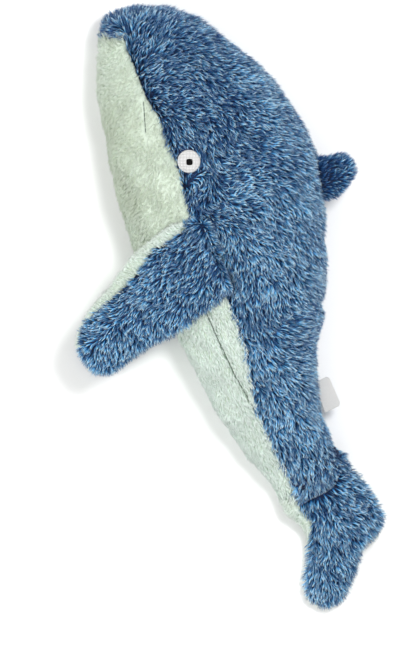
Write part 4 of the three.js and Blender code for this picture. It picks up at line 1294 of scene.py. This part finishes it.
def make_fill(part, node, voxel, shrink, inset):
    """One lump of fibre: the node's solid, rounded, drawn in and uneven."""
    mesh = remeshed(node + "_fibre", [node], voxel, smoothing=4)
    lump = Surface(mesh)
    drawn_in = shrink * MM + FILL_LUMP_HEIGHT * ripple(lump.points, seed=23, wave=FILL_LUMP)
    lump.points -= lump.normals * drawn_in[:, None]
    middle = lump.points.mean(axis=0)
    lump.points = middle + (lump.points - middle) * (1 - inset, 1 - inset, 1)
    mesh.vertices.foreach_set("co", lump.points.ravel())
    obj = stand_in(node + "_fibre", mesh, node, FILL)
    carry(part, obj)


for node in BODY_FILLING:
    make_fill(BODY, node, voxel=2.4, shrink=1.5, inset=0.0)
make_fill(FLUKE, "fluke_wadding", voxel=1.2, shrink=1.4, inset=0.12)


# Films: crinkled sheets inside the fins, a little smaller than the cloth around them

FILM_SIZE = 0.82  # the share of its node's size that a film keeps
FILM_SHIFT = 3 * MM  # away from the fin's joint
CRINKLE_HEIGHT, CRINKLE_WAVE = 0.35 * MM, 7 * MM


def make_film(side):
    """The crinkled film of one fin."""
    node = f"{side}_fin_film"
    work = bmesh.new()
    work.from_mesh(NODES[node].data)
    bmesh.ops.subdivide_edges(work, edges=work.edges, cuts=3, use_grid_fill=True)
    points = np.array([vertex.co for vertex in work.verts])
    middle = points.mean(axis=0)
    _, _, out = joint_axes(next(part for part in PARTS if part.body == f"{side}_fin"))
    points = middle + (points - middle) * FILM_SIZE + FILM_SHIFT * out
    points[:, 2] += CRINKLE_HEIGHT * ripple(points, seed=31, wave=CRINKLE_WAVE)
    for vertex, point in zip(work.verts, points):
        vertex.co = point
    finished(f"{side}_fin_crinkle_film", mesh_from(node, work), node, f"{side}_fin")


for side in SIDES:
    make_film(side)


# Floor, light and camera

WORLD_STRENGTH = 0.68
FLOOR_HALF = 4.0
FLOOR_SHADOW_REACH, FLOOR_WHITE_REACH = 0.3, 0.55  # the floor turns white between these distances
LENS, SENSOR = 900.0, 36.0  # a lens so long that the camera sees almost in parallel
FOCUS_HEIGHT = 33 * MM  # the height at which the picture has the photograph's scale


def make_floor():
    """A white floor that keeps the toy's shadow and turns to pure white away from the toy."""
    mesh = bpy.data.meshes.new("floor")
    corners = [(x * FLOOR_HALF, y * FLOOR_HALF, 0) for x, y in ((-1, -1), (1, -1), (1, 1), (-1, 1))]
    mesh.from_pydata(corners, [], [(0, 1, 2, 3)])
    floor = new_object("floor", mesh)
    shader = Shader("floor", Base_Color=colour(253, 253, 253), Roughness=0.9, Specular_IOR_Level=0.1)
    where = shader.add("TexCoord")
    far = shader.add("VectorMath", operation="LENGTH")
    shader.join(where.outputs["Object"], far.inputs[0])
    edge = shader.add("MapRange")
    edge.inputs["From Min"].default_value = FLOOR_SHADOW_REACH
    edge.inputs["From Max"].default_value = FLOOR_WHITE_REACH
    shader.join(far.outputs["Value"], edge.inputs["Value"])
    share = shader.add("Math", operation="MULTIPLY")
    shader.join(shader.background(), share.inputs[0])
    shader.join(edge.outputs["Result"], share.inputs[1])
    shader.mix_shaders(share.outputs[0], shader.skin, shader.add("Emission"), "Material Output")
    mesh.materials.append(shader.material)


def make_world():
    """A soft white surround, seen as pure white."""
    world = bpy.data.worlds.new("studio")
    SCENE.world = world
    world.use_nodes = True
    graph = Graph(world.node_tree)
    light = graph.nodes["Background"]
    light.inputs["Color"].default_value = (1, 1, 1, 1)
    light.inputs["Strength"].default_value = WORLD_STRENGTH
    white = graph.add("Background", Color=(1, 1, 1, 1))
    graph.mix_shaders(graph.background(), light, white, "World Output")


def make_lamp(name, where, size, power):
    """A soft square lamp that points at the frame's origin."""
    data = bpy.data.lights.new(name, "AREA")
    data.shape = "SQUARE"
    data.size = size
    data.energy = power
    lamp = new_object(name, data)
    lamp.location = where
    lamp.rotation_euler = (-Vector(where)).to_track_quat("-Z", "Y").to_euler()


def make_camera():
    """Straight over the toy, so that the picture covers what the photograph does."""
    data = bpy.data.cameras.new("camera")
    data.lens = LENS
    data.sensor_width = SENSOR
    data.clip_start, data.clip_end = 0.1, 20.0
    camera = new_object("camera", data)
    across, along = place(FRAME_PIXELS[0] / 2, FRAME_PIXELS[1] / 2)
    camera.location = (across, along, FOCUS_HEIGHT + FRAME_PIXELS[1] * PIXEL * LENS / SENSOR)
    SCENE.camera = camera


make_floor()
make_world()
make_lamp("key", (0.42, 0.4, 1.7), size=0.4, power=19.0)
make_lamp("fill", (-1.3, -0.6, 1.2), size=1.2, power=12.0)
make_camera()
SCENE.view_settings.view_transform = "Standard"
SCENE.cycles.diffuse_bounces = 10
